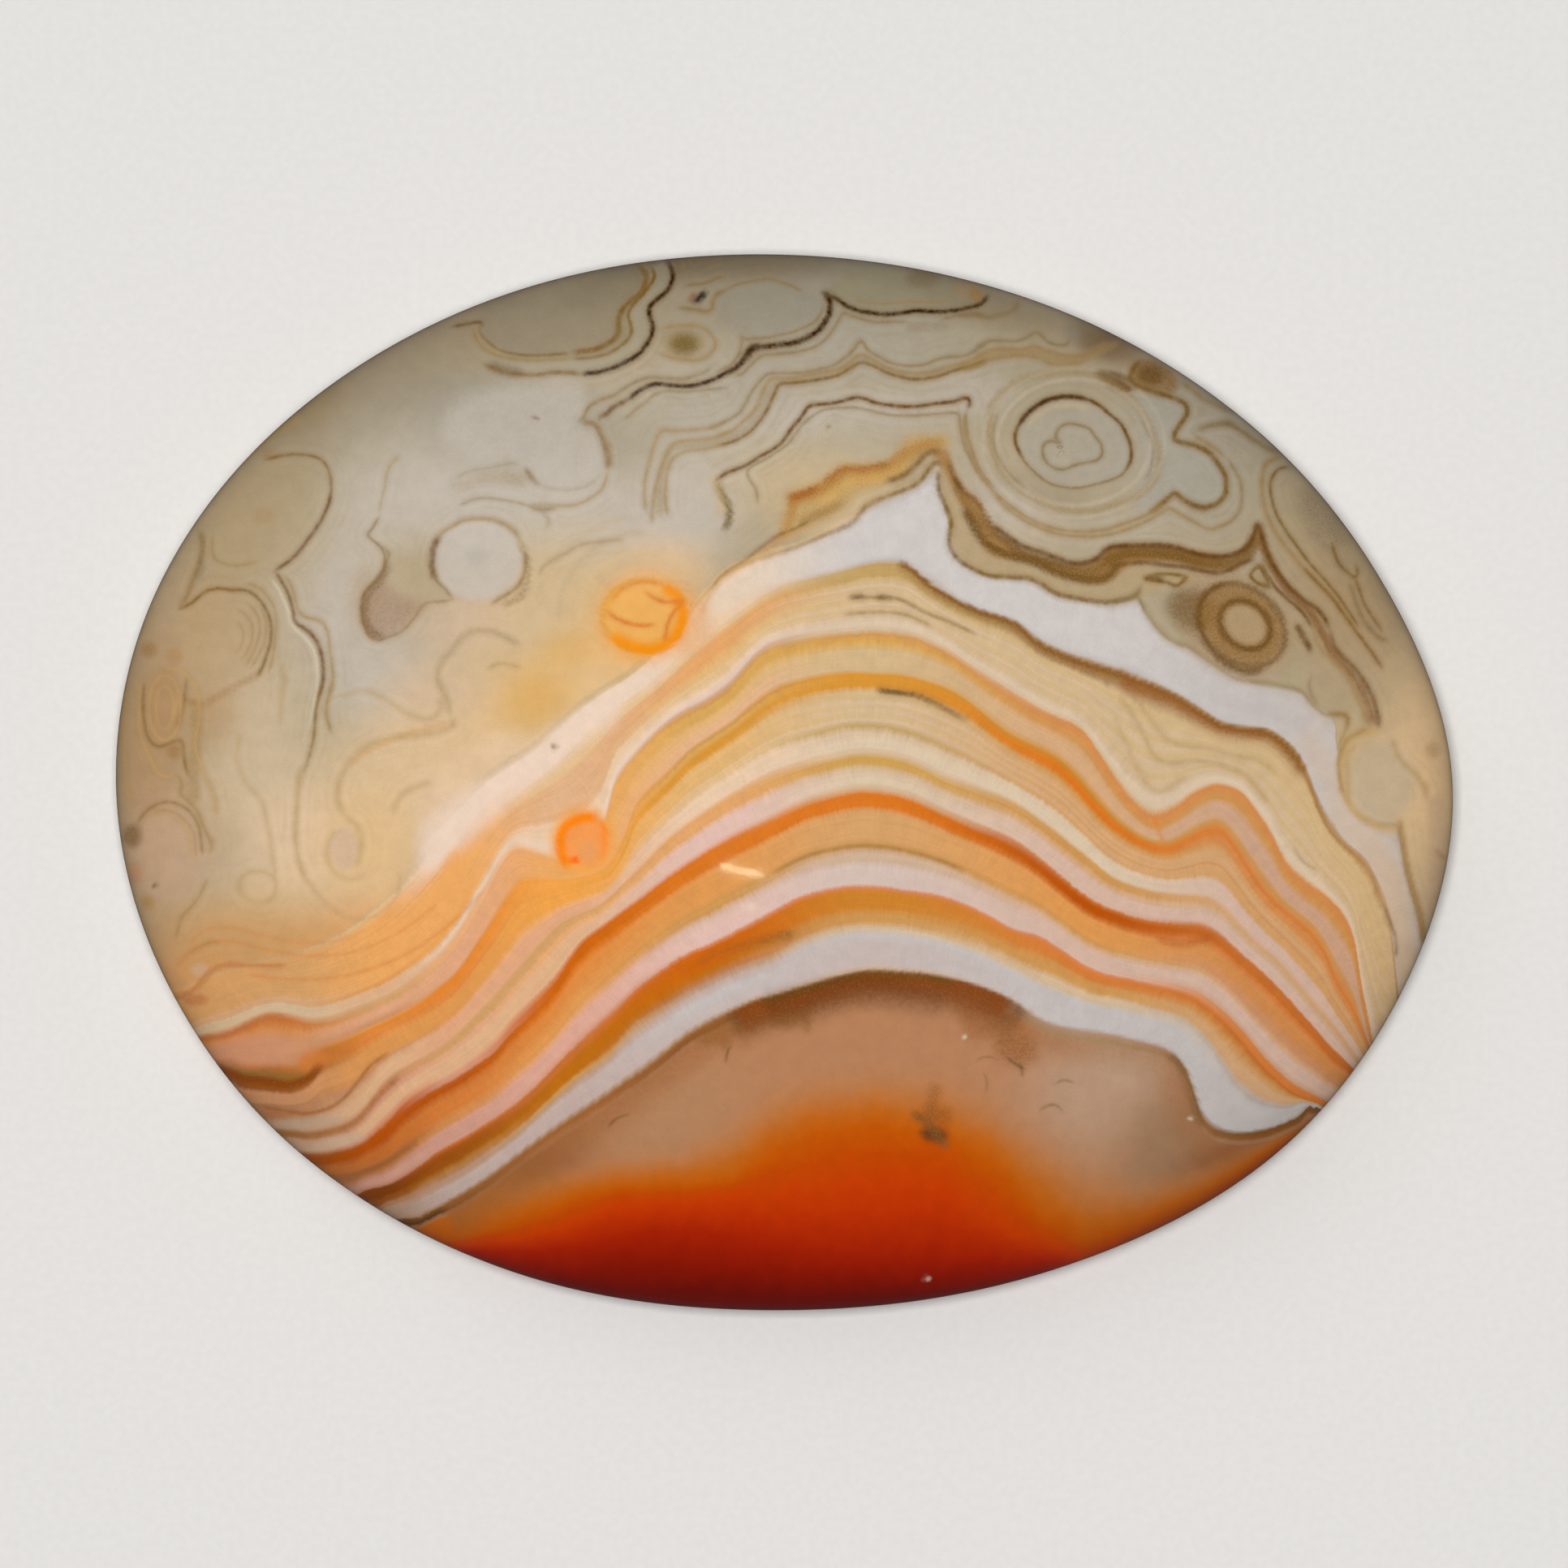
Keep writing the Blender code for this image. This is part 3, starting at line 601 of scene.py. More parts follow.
# Fine lines over everything: the tone, half the width in pixels, the strength
# (or that at the start > that at the end), and the path
LINES = """
# The oval at the upper left edge and its outlines
dark 2.2 1: 818,318 826,328 829,338 827,350 820,360 808,370 800,379 800,388 804,400 803,412 798,422 790,433
  780,441 765,449 750,455 735,459 712,461
olive 2 0.8>0.5: 720,461 700,459 680,459 660,462 640,461 620,458 605,452 590,448
olive 2.6 0.9>0.8: 781,324 790,330 796,340 795,350 790,360 783,367 772,375 765,385 762,398 762,410 757,418
  748,424 735,430 720,433 700,435
olive 1.4 0.7>0.4: 706,435 680,437 660,438 640,437 620,433 607,426 595,415 590,405 592,396
olive 1.6 0.9>0.6: 800,325 806,337 805,345 797,356 788,367 778,378 774,388 777,400 778,410 772,420 762,428
  748,436 725,441 700,442
tan 1.4 0.6>0.7: 708,442 680,443 650,444 620,440 600,432 588,420 584,408 585,398
brown 1.6 0.6: 552,404 560,402 575,399 590,397 594,400 592,408
# Under the oval
dark 2 1: 905,452 888,463 875,469 860,474 845,476 830,475 810,473 800,475 790,480 780,487 770,496
brown 2.2 0.75: 778,490 763,498 755,502 748,510 740,514 738,522
grey 1.6 0.5>0.9: 880,452 860,462 840,467 820,466 800,465 785,470 770,478 757,487 745,491 735,495 725,502
  721,510 718,516 710,521
grey 1.3 0.5: 900,478 880,479 860,482 840,483 820,482 805,487 797,495 785,503 775,512 763,520
olive 2.6 0.7>0.6: 712,520 725,521 733,524 738,530 741,537 744,545 747,557 749,570 747,582
tan 1.4 0.45: 749,574 747,588 742,602 730,612 715,620 700,623 676,622
olive 2.2 0.55: 645,572 651,583 660,594 668,599
grey 1.8 0.2: 658,593 675,601 700,603 720,600 735,590 745,578
grey 1.3 0.25: 556,592 580,580 600,577 620,573 632,570 645,577
grey 1.3 0.4: 560,625 590,614 620,616 645,621 665,628 690,625
tan 1.6 0.55: 797,636 794,612 795,590 800,570 805,550 812,535 818,530 830,531 850,530 870,528 885,525
  900,516
tan 1.6 0.55: 803,650 804,625 808,600 815,576 822,558 830,547 845,543 870,541 890,536 905,529
tan 1.6 0.55: 824,640 820,620 820,600 824,575 832,562 850,555 870,553 900,545
brown 1.4 0.45: 653,513 660,515 667,517
# The dark spot in its angular cell, and the lines round the small olive eye
grey 1.6 0.75: 838,355 850,351 868,349 885,342 900,339
grey 1.8 0.8: 895,357 884,362 878,372 877,380 870,384 860,382 845,380 830,379
tan 1.5 0.55: 806,432 812,436 825,440 840,443 858,444 870,440 880,430 881,420 872,408 860,402 840,401
  820,404 812,409
# The pale oval at the top and the dark line that curls round it
grey 1.5 0.55: 880,374 884,364 894,357 910,350 925,347 945,343 960,347 975,352 992,361
dark 2.6 1: 1008,359 1017,362 1022,370 1023,378 1021,388 1016,397 1010,405 1000,413 988,419 975,423 960,425
  945,427 930,428 925,431 921,437 915,445 905,454 890,462
dark 3.2 0.85: 940,427 929,428 922,435 914,446
grey 1.3 0.6: 880,458 895,453 905,445 912,432 914,420 913,415 918,418 930,417 945,416 960,413 975,410
  990,404 1003,397 1012,385 1014,372
grey 1.4 0.6: 900,466 915,460 925,450 932,443 940,438 960,436 985,433 1005,427 1015,420 1024,410 1032,397
  1037,387 1042,386 1055,391 1070,395 1085,397 1105,396 1125,397
dark 2 0.95: 1015,361 1030,368 1042,376 1055,382 1070,385 1085,387 1100,387 1115,385 1130,383 1150,384
  1175,383 1190,380 1205,376 1213,370 1220,360
tan 1.2 0.45: 1050,368 1070,373 1090,374 1120,372 1150,372 1175,370
grey 1.8 0.6: 1155,396 1165,392 1178,389 1190,388 1205,387 1222,391
# The upper pair of lines with a peak in the middle
grey 1.4 0.6: 870,528 885,523 900,516 912,508 918,498 925,485 932,475 943,463 950,460 970,460 990,459
  1010,455 1025,451 1038,443 1050,433 1061,420 1068,430 1080,438 1095,446 1110,450 1125,451 1140,449
  1155,443 1170,440 1190,438 1205,430 1222,420
tan 1.7 0.6: 880,537 900,532 915,520 930,505 938,488 945,472 953,466 975,466 995,462 1015,458 1035,455
  1048,446 1060,437 1075,443 1090,452 1105,457 1125,460 1145,459 1165,453 1190,447 1222,432
olive 1.6 0.8: 880,550 900,545 920,535 935,520 945,505 953,488 960,474 975,472 1000,469 1030,463 1045,455
  1060,447 1075,450 1090,458 1105,463 1125,467 1145,466 1160,462 1180,455 1200,450 1222,440
# The brown line over the ochre, with its fine companion
brown 1.6 0.85: 880,596 885,590 893,584 905,579 920,573 935,563 950,555 960,548 967,540 975,528 985,517
  991,508 998,500 1015,498 1030,496 1045,492 1053,490 1065,491 1078,496 1095,499 1115,501 1135,500 1155,497
  1175,495 1185,491 1193,491 1195,497 1191,508
grey 1.3 0.6: 1191,500 1190,520 1193,540 1198,555 1205,575 1215,590 1228,604
grey 1.2 0.5: 934,626 932,605 923,590 921,580 929,573 945,565 960,555 970,548 980,535 990,522 1005,510
  1020,504 1050,502 1065,504 1080,508 1100,512 1120,512 1145,511 1165,509 1178,509 1182,513 1184,530
  1188,550 1193,560 1205,583 1220,600
olive 2.2 0.2>0.85: 935,690 960,682 980,675 1005,664 1020,658 1035,652 1050,645 1060,632 1067,624 1078,618
  1092,612 1110,605 1125,599 1136,590 1146,577 1152,571 1158,571 1164,577
brown 2.6 0.6: 1086,594 1105,589 1120,581 1130,571 1138,562 1147,557 1162,556
olive 2.2 0.8: 1157,576 1156,590 1157,604 1162,617 1168,630 1172,645 1170,660 1170,672 1178,686 1191,697
  1207,705 1222,710 1245,711 1268,713 1285,721 1300,731 1320,736 1345,740 1362,742 1385,739 1400,733
  1407,722
brown 2 0.7: 1176,583 1179,594 1188,605
brown 2.2 0.75: 1220,644 1235,656 1250,667 1265,675 1285,681 1300,687 1318,693 1335,694 1350,689 1361,679
  1375,672
grey 1.8 0.6: 1017,524 1021,526 1024,526
# The large eye, its heart-shaped middle and its rings
olive 1.2 0.5: 1300,490 1308,489 1325,489 1340,492 1355,500 1368,511 1380,521 1387,533 1392,545 1394,560
  1392,570 1385,582 1375,589 1360,594 1345,598 1330,601 1315,601 1300,598 1287,592 1273,580 1262,568
  1256,557 1252,545 1252,533 1257,522 1266,510 1278,500 1290,493 1300,490
brown 1.5 0.75: 1262,568 1256,557 1251,545 1251,533 1256,522 1265,510 1278,500 1290,493 1308,489 1325,489
  1340,492 1355,500 1368,511 1380,521 1387,533 1392,545 1394,560 1392,570 1385,582
dark 2.4 0.7: 1254,526 1265,510 1278,500 1290,493 1308,489 1325,489 1342,493
pale 2 0.2: oval 1323 545 95 78 0
pale 1.8 0.12: oval 1323 546 112 92 0
grey 1.4 0.75: 1306,547 1301,538 1303,530 1309,524 1318,522 1330,524 1342,528 1348,536 1355,545 1358,553
  1357,562 1350,568 1338,570 1325,573 1312,578 1300,577 1290,570 1285,560 1285,550 1289,545 1297,543
  1306,547
grey 1.3 0.4: 1232,503 1226,520 1224,540 1228,558 1238,577 1252,592 1268,604
grey 1.3 0.4: 1402,512 1412,528 1419,545 1420,562 1417,580 1408,596
tan 1.5 0.65: 1188,508 1188,530 1192,550 1200,570 1210,588 1222,603 1240,620 1258,633 1275,643 1295,650
  1315,654 1340,655 1365,652 1385,645 1400,640 1412,635 1425,627 1437,616
tan 1.5 0.6: 1222,606 1240,625 1260,640 1285,652 1310,659 1340,661 1370,658 1395,650 1415,641 1430,632
  1440,626 1448,630 1460,637 1475,645 1490,652 1505,648 1520,640
# The three-lobed line right of the large eye
olive 2.3 0.9: 1410,443 1400,449 1395,458 1393,470 1405,477 1420,482 1435,487 1450,492 1460,498 1463,507
  1459,516 1452,526 1447,535 1449,543 1460,546 1475,550 1490,558 1500,570 1508,583 1511,597 1509,610
  1500,620 1487,625 1475,624 1462,618 1452,611 1447,607 1440,613 1428,624 1412,634
brown 2.8 0.45: 1462,619 1475,625 1487,626 1500,620
grey 2.4 0.8: 1470,531 1485,526 1500,523 1512,521 1524,524
tan 1.5 0.55: 1470,530 1474,538 1485,545 1500,555 1515,570
# Along the upper right edge
grey 2.4 0.7: 1176,388 1200,387 1215,391 1230,389 1245,384 1252,378 1255,364
grey 1.5 0.6: 1196,433 1215,421 1235,420 1255,420 1268,414 1277,409 1285,415 1292,422 1305,425 1315,424
  1320,414
tan 1.8 0.65: 1196,442 1222,431 1240,430 1260,430 1275,427 1290,432 1310,438 1335,438 1352,430 1372,422
tan 1.8 0.6: 1180,456 1205,450 1225,442 1260,438 1280,441 1295,448 1320,448 1342,444
tan 1.6 0.55: 1450,468 1468,480 1482,491 1500,500 1522,510
# The lobes at the right shoulder
grey 2 0.9>0.6: 1500,522 1515,523 1525,528 1535,535 1545,542 1556,549 1568,555 1582,560
grey 1.6 0.5: 1510,562 1520,577 1527,590 1530,603 1530,618 1526,632 1515,643 1500,651
tan 1.8 0.65: 1586,561 1568,566 1560,572 1556,582 1555,595 1556,612 1560,630 1568,650 1580,668 1592,683
  1604,698 1618,713 1634,729 1648,745 1660,761 1672,780
olive 1.5 0.7: 1594,576 1582,576 1573,580 1567,590 1565,600 1567,615 1572,632 1583,652 1598,673 1612,692
  1630,712 1646,731 1660,751 1676,776
olive 1.6 0.65: 1640,664 1644,680 1650,695 1660,705 1669,711 1673,704 1668,692
olive 1.6 0.6: 1668,708 1674,724 1680,742 1692,762 1706,782
# The brown band's edges, the small triangle and the cell beside it
brown 2.4 0.85: 1356,683 1366,676 1380,673 1400,672 1430,672 1446,674 1460,678 1480,684 1500,686 1515,684
  1530,679 1540,670 1545,660 1548,650 1549,638
brown 2.2 0.7: 1370,700 1385,695 1410,693 1440,697 1460,699 1480,703 1500,706 1515,702 1530,694 1543,689
  1550,685
brown 2.2 0.8: 1549,640 1553,655 1557,668 1563,685 1571,700 1581,715 1592,727 1607,740 1622,750 1632,762
  1640,778
brown 1.7 0.65: 1551,688 1560,705 1570,722 1585,737 1600,750 1610,762 1619,777
olive 1.6 0.85: 1541,708 1548,699 1552,697 1556,705 1562,717 1563,724 1555,721 1546,716 1541,708
olive 1.6 0.8: 1412,713 1420,709 1432,707 1448,708 1462,711 1456,718 1448,722 1440,718 1426,716 1412,713
# Round the brown eye and down the right side
tan 1.6 0.45: 1410,748 1420,765 1435,783 1450,793 1465,797 1480,808 1500,822 1520,835 1540,840 1560,841
  1580,845 1596,849 1606,854 1613,863 1622,873 1632,880 1645,881 1655,880 1661,888 1658,900 1652,912
  1647,928
olive 2 0.55: 1632,878 1645,880 1655,880 1661,888 1658,900
brown 2.4 0.6: 1404,712 1420,713 1440,714
grey 1.8 0.65: 1368,742 1380,738 1395,735 1403,728 1409,716
grey 1.7 0.55: 1401,731 1406,742 1413,757
brown 2.8 0.75: 1594,764 1603,780 1610,792 1618,809
brown 2.2 0.55: 1637,771 1645,798 1660,814 1675,831 1687,850 1694,866 1698,885 1699,902
tan 2 0.45: 1614,765 1619,780 1626,797 1640,812 1655,828 1665,845 1673,860 1680,878 1687,899
tan 1.8 0.45: 1693,896 1684,898 1674,903 1662,909 1655,919 1650,933 1649,948 1652,966 1656,980
straw 2 0.45: 1651,960 1654,974 1660,988 1668,1000 1682,1011 1700,1017 1722,1019
straw 1.8 0.45: 1660,990 1661,965 1659,940 1664,924 1676,912
grey 1.6 0.4: 1618,828 1613,842 1617,858 1627,872
# Fine lines in the tan band at the right
straw 2.2 0.45: 1396,850 1408,872 1420,890 1432,905 1445,915 1465,920 1490,922 1510,928 1530,933 1545,935
  1560,943 1576,958
straw 2.2 0.45: 1376,852 1390,872 1402,892 1412,912 1420,928 1432,938 1450,940 1470,937 1500,941 1520,948
  1535,955 1550,972 1566,994
straw 2.2 0.35: 1372,880 1383,905 1395,933 1410,962 1425,975 1440,972 1455,960 1468,953
olive 1.7 0.65: 1604,697 1620,714 1640,735 1652,752 1665,770 1680,790 1693,808 1706,828
grey 2.2 0.6: 1661,712 1667,730 1673,748 1682,767 1696,783 1714,793
# Down the right edge
tan 2 0.45: 1724,1008 1726,1025 1729,1045 1732,1065 1737,1085 1743,1105 1749,1125 1753,1143 1751,1165
straw 1.6 0.45: 1714,906 1722,930 1733,945 1745,955 1755,970 1759,990
tan 2 0.4: 1768,1044 1774,1053 1784,1060
brown 1.5 0.4: 1704,1112 1714,1138 1720,1160 1720,1186
tan 1.4 0.35: 1592,1040 1600,1054 1611,1066 1628,1073
# The ovals at the left edge and the line beside them
olive 1.4 0.6: 322,568 340,563 360,560 380,561 393,565 401,572 406,583 408,597 407,612 402,630
brown 1.7 0.75: 408,604 406,616 402,628 394,644 383,660 372,675 358,690 345,699 334,706
tan 1.3 0.4: 263,655 261,675 265,688 275,694 290,697 305,695 324,690
brown 1.6 0.7: 335,703 341,707 346,715 353,727 358,740 361,752 362,762 366,769 375,774 386,784
brown 1.9 0.75: 372,772 382,780 389,789 394,800 397,812 398,825 398,838 395,850 391,864
tan 1.4 0.55: 348,704 352,710 360,725 364,740 368,753 376,760 388,763 398,768 404,780 406,800 409,820
  410,840 406,862
olive 1.6 0.7: 216,752 233,745 243,737 255,728 270,725 285,727 300,727 312,732 322,742 330,755 334,770
  334,785 331,800 326,815 320,828 315,838
tan 1.4 0.5: 297,718 315,722 328,733 336,745 340,760 340,775 338,795 335,815 329,834
tan 1.4 0.45: 318,744 325,756 328,772 326,790 318,808 306,828
tan 1.3 0.45: 300,740 312,750 319,764 320,780 316,794 311,806 300,826
tan 1.3 0.4: 288,748 301,756 310,768 311,784 306,800 296,816
tan 1.3 0.3: 286,762 296,770 300,782 297,796 288,808
olive 2.4 0.45: 243,650 250,668 247,690 242,705 238,715 232,730 220,752
# The dark edge of the patch in the pale area
olive 1.3 0.5: 470,632 458,652 453,658 457,664 465,670 473,680 474,695 470,708 462,718 452,726 447,738
  446,755 449,770 455,782 465,788 480,785
# The grey-ringed pale eye and the patch beside it
brown 2.8 0.8: 545,656 537,668 533,682 532,695 534,708 541,719
olive 1.4 0.5: 532,700 534,708 540,718 548,725 553,732 561,740
tan 1.6 0.65: 537,668 543,658 555,650 567,643 580,640 597,639 612,642 625,648 635,656 642,670
olive 1.6 0.5: 646,674 648,690 646,706 641,718 633,727 620,735 610,741 602,748
olive 1.3 0.35: 450,778 457,786 467,789 480,784 495,778 505,768 513,758 520,747 530,742 545,741 563,738
olive 1.6 0.45: 469,671 476,677 479,684 474,697 470,708 462,718 453,726 447,738 446,755 449,770 456,784
tan 1.3 0.35: 496,558 482,572 477,582 474,600 470,618 466,636
tan 1.6 0.12: 646,796 628,788 612,780 600,777 582,778 568,787 556,803 543,818 539,835 545,850 552,866
  556,886 560,906
grey 2 0.25: 648,619 662,626 672,634 676,644 668,654
tan 1.5 0.35: 664,716 668,700 682,689 700,680 716,671 742,667 774,664
tan 1.5 0.25: 596,829 606,821 618,817 632,820 648,825
# The hooked lines left of the bands
olive 1.5 0.85>0.3: 397,842 392,860 389,875 388,890 387,905 384,920 379,938 373,955
tan 1.6 0.6: 409,836 404,862 402,872 403,885 406,895 409,908
straw 1.8 0.25: 403,872 407,863 416,858 430,855 442,851 452,851 462,855 475,862 488,870 500,878 515,884
  530,885 539,880 543,868 542,852
straw 2 0.32: 560,880 558,893 545,900 530,904 510,906 490,908 470,912 455,918 443,926 432,938 424,950
  418,965 416,978 418,990 424,1003 433,1012 440,1018 444,1030 445,1045 443,1058 436,1072
straw 1.7 0.25: 424,1022 414,1025 407,1032 404,1042 403,1055 407,1068 415,1077 425,1082 440,1082 454,1074
straw 1.7 0.25: 364,1060 371,1074 382,1090 396,1107 411,1122 426,1130 446,1132 470,1125 487,1107 493,1088
  490,1070
straw 1.8 0.3: 484,1010 486,995 494,981 508,971 536,963
brown 2.4 0.7: 680,918 684,920 688,921
# The left edge, below its ovals
straw 1.8 0.55>0.3: 378,938 371,952 367,970 366,990 365,1010 364,1030 366,1050 371,1068 380,1085
olive 1.6 0.5: 178,836 177,850 176,870 178,890 181,905 187,915 196,920 206,917 215,913 223,912 226,921
  227,934 229,946 234,960
straw 1.6 0.55: 171,840 171,862 171,882 173,905 179,921 184,931 188,942 194,952 203,957 213,955 220,955
tan 1.5 0.5: 212,955 220,956 224,966 223,978 230,985 238,993 245,1005 250,1017 256,1030 261,1041 257,1056
olive 1.8 0.45: 230,832 228,855 226,870 222,885 216,902
straw 1.6 0.5: 219,852 217,868 213,884 206,898
olive 1.5 0.4: 168,1018 172,1010 178,1002 186,995 197,990 208,988 220,991 232,998 240,1008 246,1022 248,1040
  250,1058
tan 1.4 0.35: 186,1004 198,999 211,1000 224,1007 234,1018 240,1034 241,1062
tan 1.4 0.4: 258,1078 250,1095 243,1108 233,1120 224,1130 220,1142 215,1162
brown 2.4 0.6: 188,1088 190,1091 192,1095
straw 1.6 0.25: 297,898 292,925 294,945 304,966 317,980 325,995 330,1020 334,1045 338,1070 339,1088
straw 1.5 0.28: 338,1082 325,1074 310,1074 298,1080 295,1090 297,1100 305,1108 322,1112 335,1107 340,1095
  338,1082
straw 2 0.4: 156,836 154,880 153,920 155,960 161,996
straw 1.6 0.3: 352,822 347,860 345,900
straw 1.4 0.5: oval 203 872 20 40 0
straw 1.4 0.4: oval 203 872 11 27 0
straw 1.5 0.45: 196,822 222,826 240,846 246,880 240,915 248,945 262,975 268,1010
straw 1.5 0.4: 176,1012 192,1002 210,1004 226,1016 234,1036 236,1062
# Across the left end of the bands
rust 1.7 0.65: 316,1362 330,1365 345,1367 360,1370 380,1372 400,1367 415,1360 427,1350 437,1338 447,1325
  460,1310 482,1295
rust 2.6 0.6: 338,1392 345,1395 360,1398 380,1398 400,1396 420,1390 437,1382 450,1370 462,1355 475,1342
  494,1324
rust 2.2 0.7: 400,1451 410,1450 430,1448 450,1442 465,1437 480,1430 495,1420 516,1406
rust 2.2 0.6: 318,1317 327,1320 334,1326
tan 1.5 0.35: 222,1180 240,1170 256,1162 276,1160
# Inside the yellow eye
amber 1.8 0.75: 745,750 758,761 775,768 795,771 812,768
amber 1.8 0.7: 792,727 806,737 822,742 841,741 830,754 823,768 820,782 817,796
amber 1.6 0.4: 752,745 764,728 782,719 800,717 818,722
# The pale line between the two brown ones at the left
pale 1.6 0.45: 330,710 341,722 349,738 355,753 357,765 363,774 377,787 386,800 390,815 391,840 386,868
  380,900
# The olive line over the white band beside the yellow eye
olive 1.6 0.6>0.3: 1000,640 980,651 960,659 940,673 918,690 898,702 884,715 875,730
amber 1.5 0.2: 214,1196 232,1176 254,1163 285,1160 330,1170 380,1178 430,1174 470,1160 505,1140 540,1112
amber 1.4 0.16: 228,1168 250,1148 280,1142 322,1152 372,1162 420,1158 455,1142
amber 1.6 0.25: 300,1200 350,1206 400,1206 450,1196 500,1176 540,1150 575,1120 600,1092
# Fine lines along the bands
olive 1.8 0.45: 1040,737 1060,736 1085,736 1110,739 1139,754 1169,766 1206,783
brown 2.4 0.5: 1044,736 1056,735 1068,736
brown 2.6 0.5: 1076,737 1090,736 1103,739
olive 1.8 0.35: 1036,757 1085,754 1118,758 1152,774
brown 2.6 0.9>0.35: 1076,850 1093,852 1127,857 1152,867 1177,880 1197,890
olive 1.8 0.35: along 1044 950 1190
# Hairline cracks and small marks in the window
brown 1.2 0.35: 1278,1374 1284,1366 1296,1361 1305,1364 1312,1374
brown 1.1 0.25: 1200,1312 1208,1304 1220,1302 1232,1307
brown 1.1 0.25: 1220,1292 1232,1284 1250,1281
brown 1.1 0.25: 1210,1318 1216,1332 1214,1350
brown 1.5 0.45: 1256,1306 1259,1318 1260,1330
brown 1.4 0.5: 1236,1298 1250,1310 1268,1320
brown 1.2 0.3: 1296,1338 1310,1331 1328,1335
brown 1.3 0.45: 746,1394 754,1383 764,1376 780,1372
brown 1.3 0.5: 902,1286 896,1297 894,1312
pale 1.8 0.9: 1185,1280 1188,1278 1192,1279
pale 1.6 0.8: 1464,1377 1467,1378 1470,1380
"""

# The noises that break the colours up, each with its fineness, detail and
# roughness, and the low and high values between which most of them act
NOISES = {
    "waver": (0.025, 3, 0.5), "fibre": (1.0, 3, 0.65), "layer": (1.0, 3, 0.75),
    "cloud": (0.03, 4, 0.6), "drift": (0.07, 3, 0.6), "flicker": (0.03, 5, 0.65),
    "ragged": (0.16, 4, 0.65), "speck": (0.40, 1.5, 0.7), "uneven": (0.09, 3, 0.6),
    "jitter": (0.22, 3, 0.7), "mottle": (0.05, 4, 0.6), "grain": (0.45, 2, 0.7),
    "paper": (4000.0, 2, 0.5),
}
NOISE_LOW = 0.3
NOISE_HIGH = 0.7
# How far noises shift things to either side. In pixels, fibres fray the bands'
# edges, bands waver and stains drift. Lines jitter in half widths, and the
# window's glow flickers by a share of its levels.
FRAY = 3.5
WAVER = 2.0
DRIFT = 4.0
JITTER = 0.8
FLICKER = 0.05

# Points lower down the band sequence than this belong to the window
MIDDLE_HEIGHT = 900
# How many steps of the band sequence one colour ramp takes
RAMP_STOPS = 30
# The two ends of the stone are a little warmer. Their gains in red, green and
# blue come in between these distances from the middle column, in pixels.
MIDDLE_COLUMN = 966
ENDS_FROM = 560
ENDS_TO = 800
ENDS_GAIN = (1.14, 1.06, 0.97)

# How closely an oval and a stretch along the bands are followed, in degrees and
# in pixels, and the shortest piece of a path that counts
OVAL_STEP = 20
BAND_STEP = 10
SHORTEST_PIECE = 1e-6

# Where the fibres are counted, as a height in the band sequence, in how many
# steps each is followed there, and the least slope that it is followed on
FIBRE_MIDDLE = 900
FIBRE_STEPS = 12
LEAST_SLOPE = 0.1


def rows_of(text):
    """The rows of a drawing, each as the words before its colon and those after it."""
    lines = text.replace("\n  ", " ").splitlines()
    return [[part.split() for part in line.split(":")] for line in lines if line and line[0] != "#"]


def marks_of(text):
    """The marks of a drawing, each as its colour, its numbers and its path."""
    return [(name, *map(number_or_pair, numbers), path_of(path)) for (name, *numbers), path in rows_of(text)]


def number_or_pair(word):
    start, _, end = word.partition(">")
    return (float(start), float(end)) if end else float(start)


def linear(colour):
    """Screen values from 0 to 255 as the linear light a shader takes."""
    shares = (value / 255 for value in colour)
    return tuple(s / 12.92 if s <= 0.04045 else ((s + 0.055) / 1.055) ** 2.4 for s in shares)


def named_colour(name):
    """A colour for a shader. The clear one is bone that covers nothing."""
    if name == "clear":
        return (*linear(PALETTE["bone"]), 0.0)
    return (*linear(PALETTE[name]), 1.0)


def fullness_at(angles):
    """The outline's departure from an ellipse at each bearing, as in the solid."""
    count = len(FULLNESS)
    values = np.array(FULLNESS) / 100
    place = angles / (2 * math.pi) * count
    step = np.floor(place).astype(int)
    t = place - step
    before, start, end, after = (values[(step + k) % count] for k in (-1, 0, 1, 2))
    bend = 2 * t**3 - 3 * t**2
    leaving = (end - before) / 2 * (t**3 - 2 * t**2 + t)
    arriving = (after - start) / 2 * (t**3 - t**2)
    return start * (1 + bend) - end * bend + leaving + arriving


def bare_outline(angles):
    reach = 1 + fullness_at(angles)
    return np.stack([reach * np.cos(angles), reach * np.sin(angles)], axis=-1)


def outline(angles):
    """Points of the stone's outline at each bearing, in metres."""
    whole = bare_outline(np.linspace(0, 2 * math.pi, OUTLINE_SAMPLES + 1)[:-1])
    low, high = whole.min(0), whole.max(0)
    return ((bare_outline(angles) - low) / (high - low) - 0.5) * (LENGTH, WIDTH)


def ring_angles(count):
    return np.arange(count) * (2 * math.pi / count)


def disc_rings(rings):
    """Angles and shares of a disc whose ring k has 6k points, and its triangles."""
    angles, shares, starts = [np.zeros(1)], [np.zeros(1)], [0]
    total = 1
    for k in range(1, rings + 1):
        angles.append(ring_angles(6 * k))
        shares.append(np.full(6 * k, k / rings))
        starts.append(total)
        total += 6 * k
    triangles = []
    for k in range(1, rings + 1):
        inner, outer, inside = starts[k - 1], starts[k], max(6 * (k - 1), 1)
        sector, step = np.divmod(np.arange(6 * k), k)
        near = inner + (sector * (k - 1) + step) % inside
        here = outer + np.arange(6 * k)
        following = outer + (np.arange(6 * k) + 1) % (6 * k)
        triangles.append(np.stack([here, following, near], 1))
        between = step < k - 1
        after = inner + (sector * (k - 1) + step + 1) % inside
        triangles.append(np.stack([near, following, after], 1)[between])
    return np.concatenate(angles), np.concatenate(shares), np.concatenate(triangles)


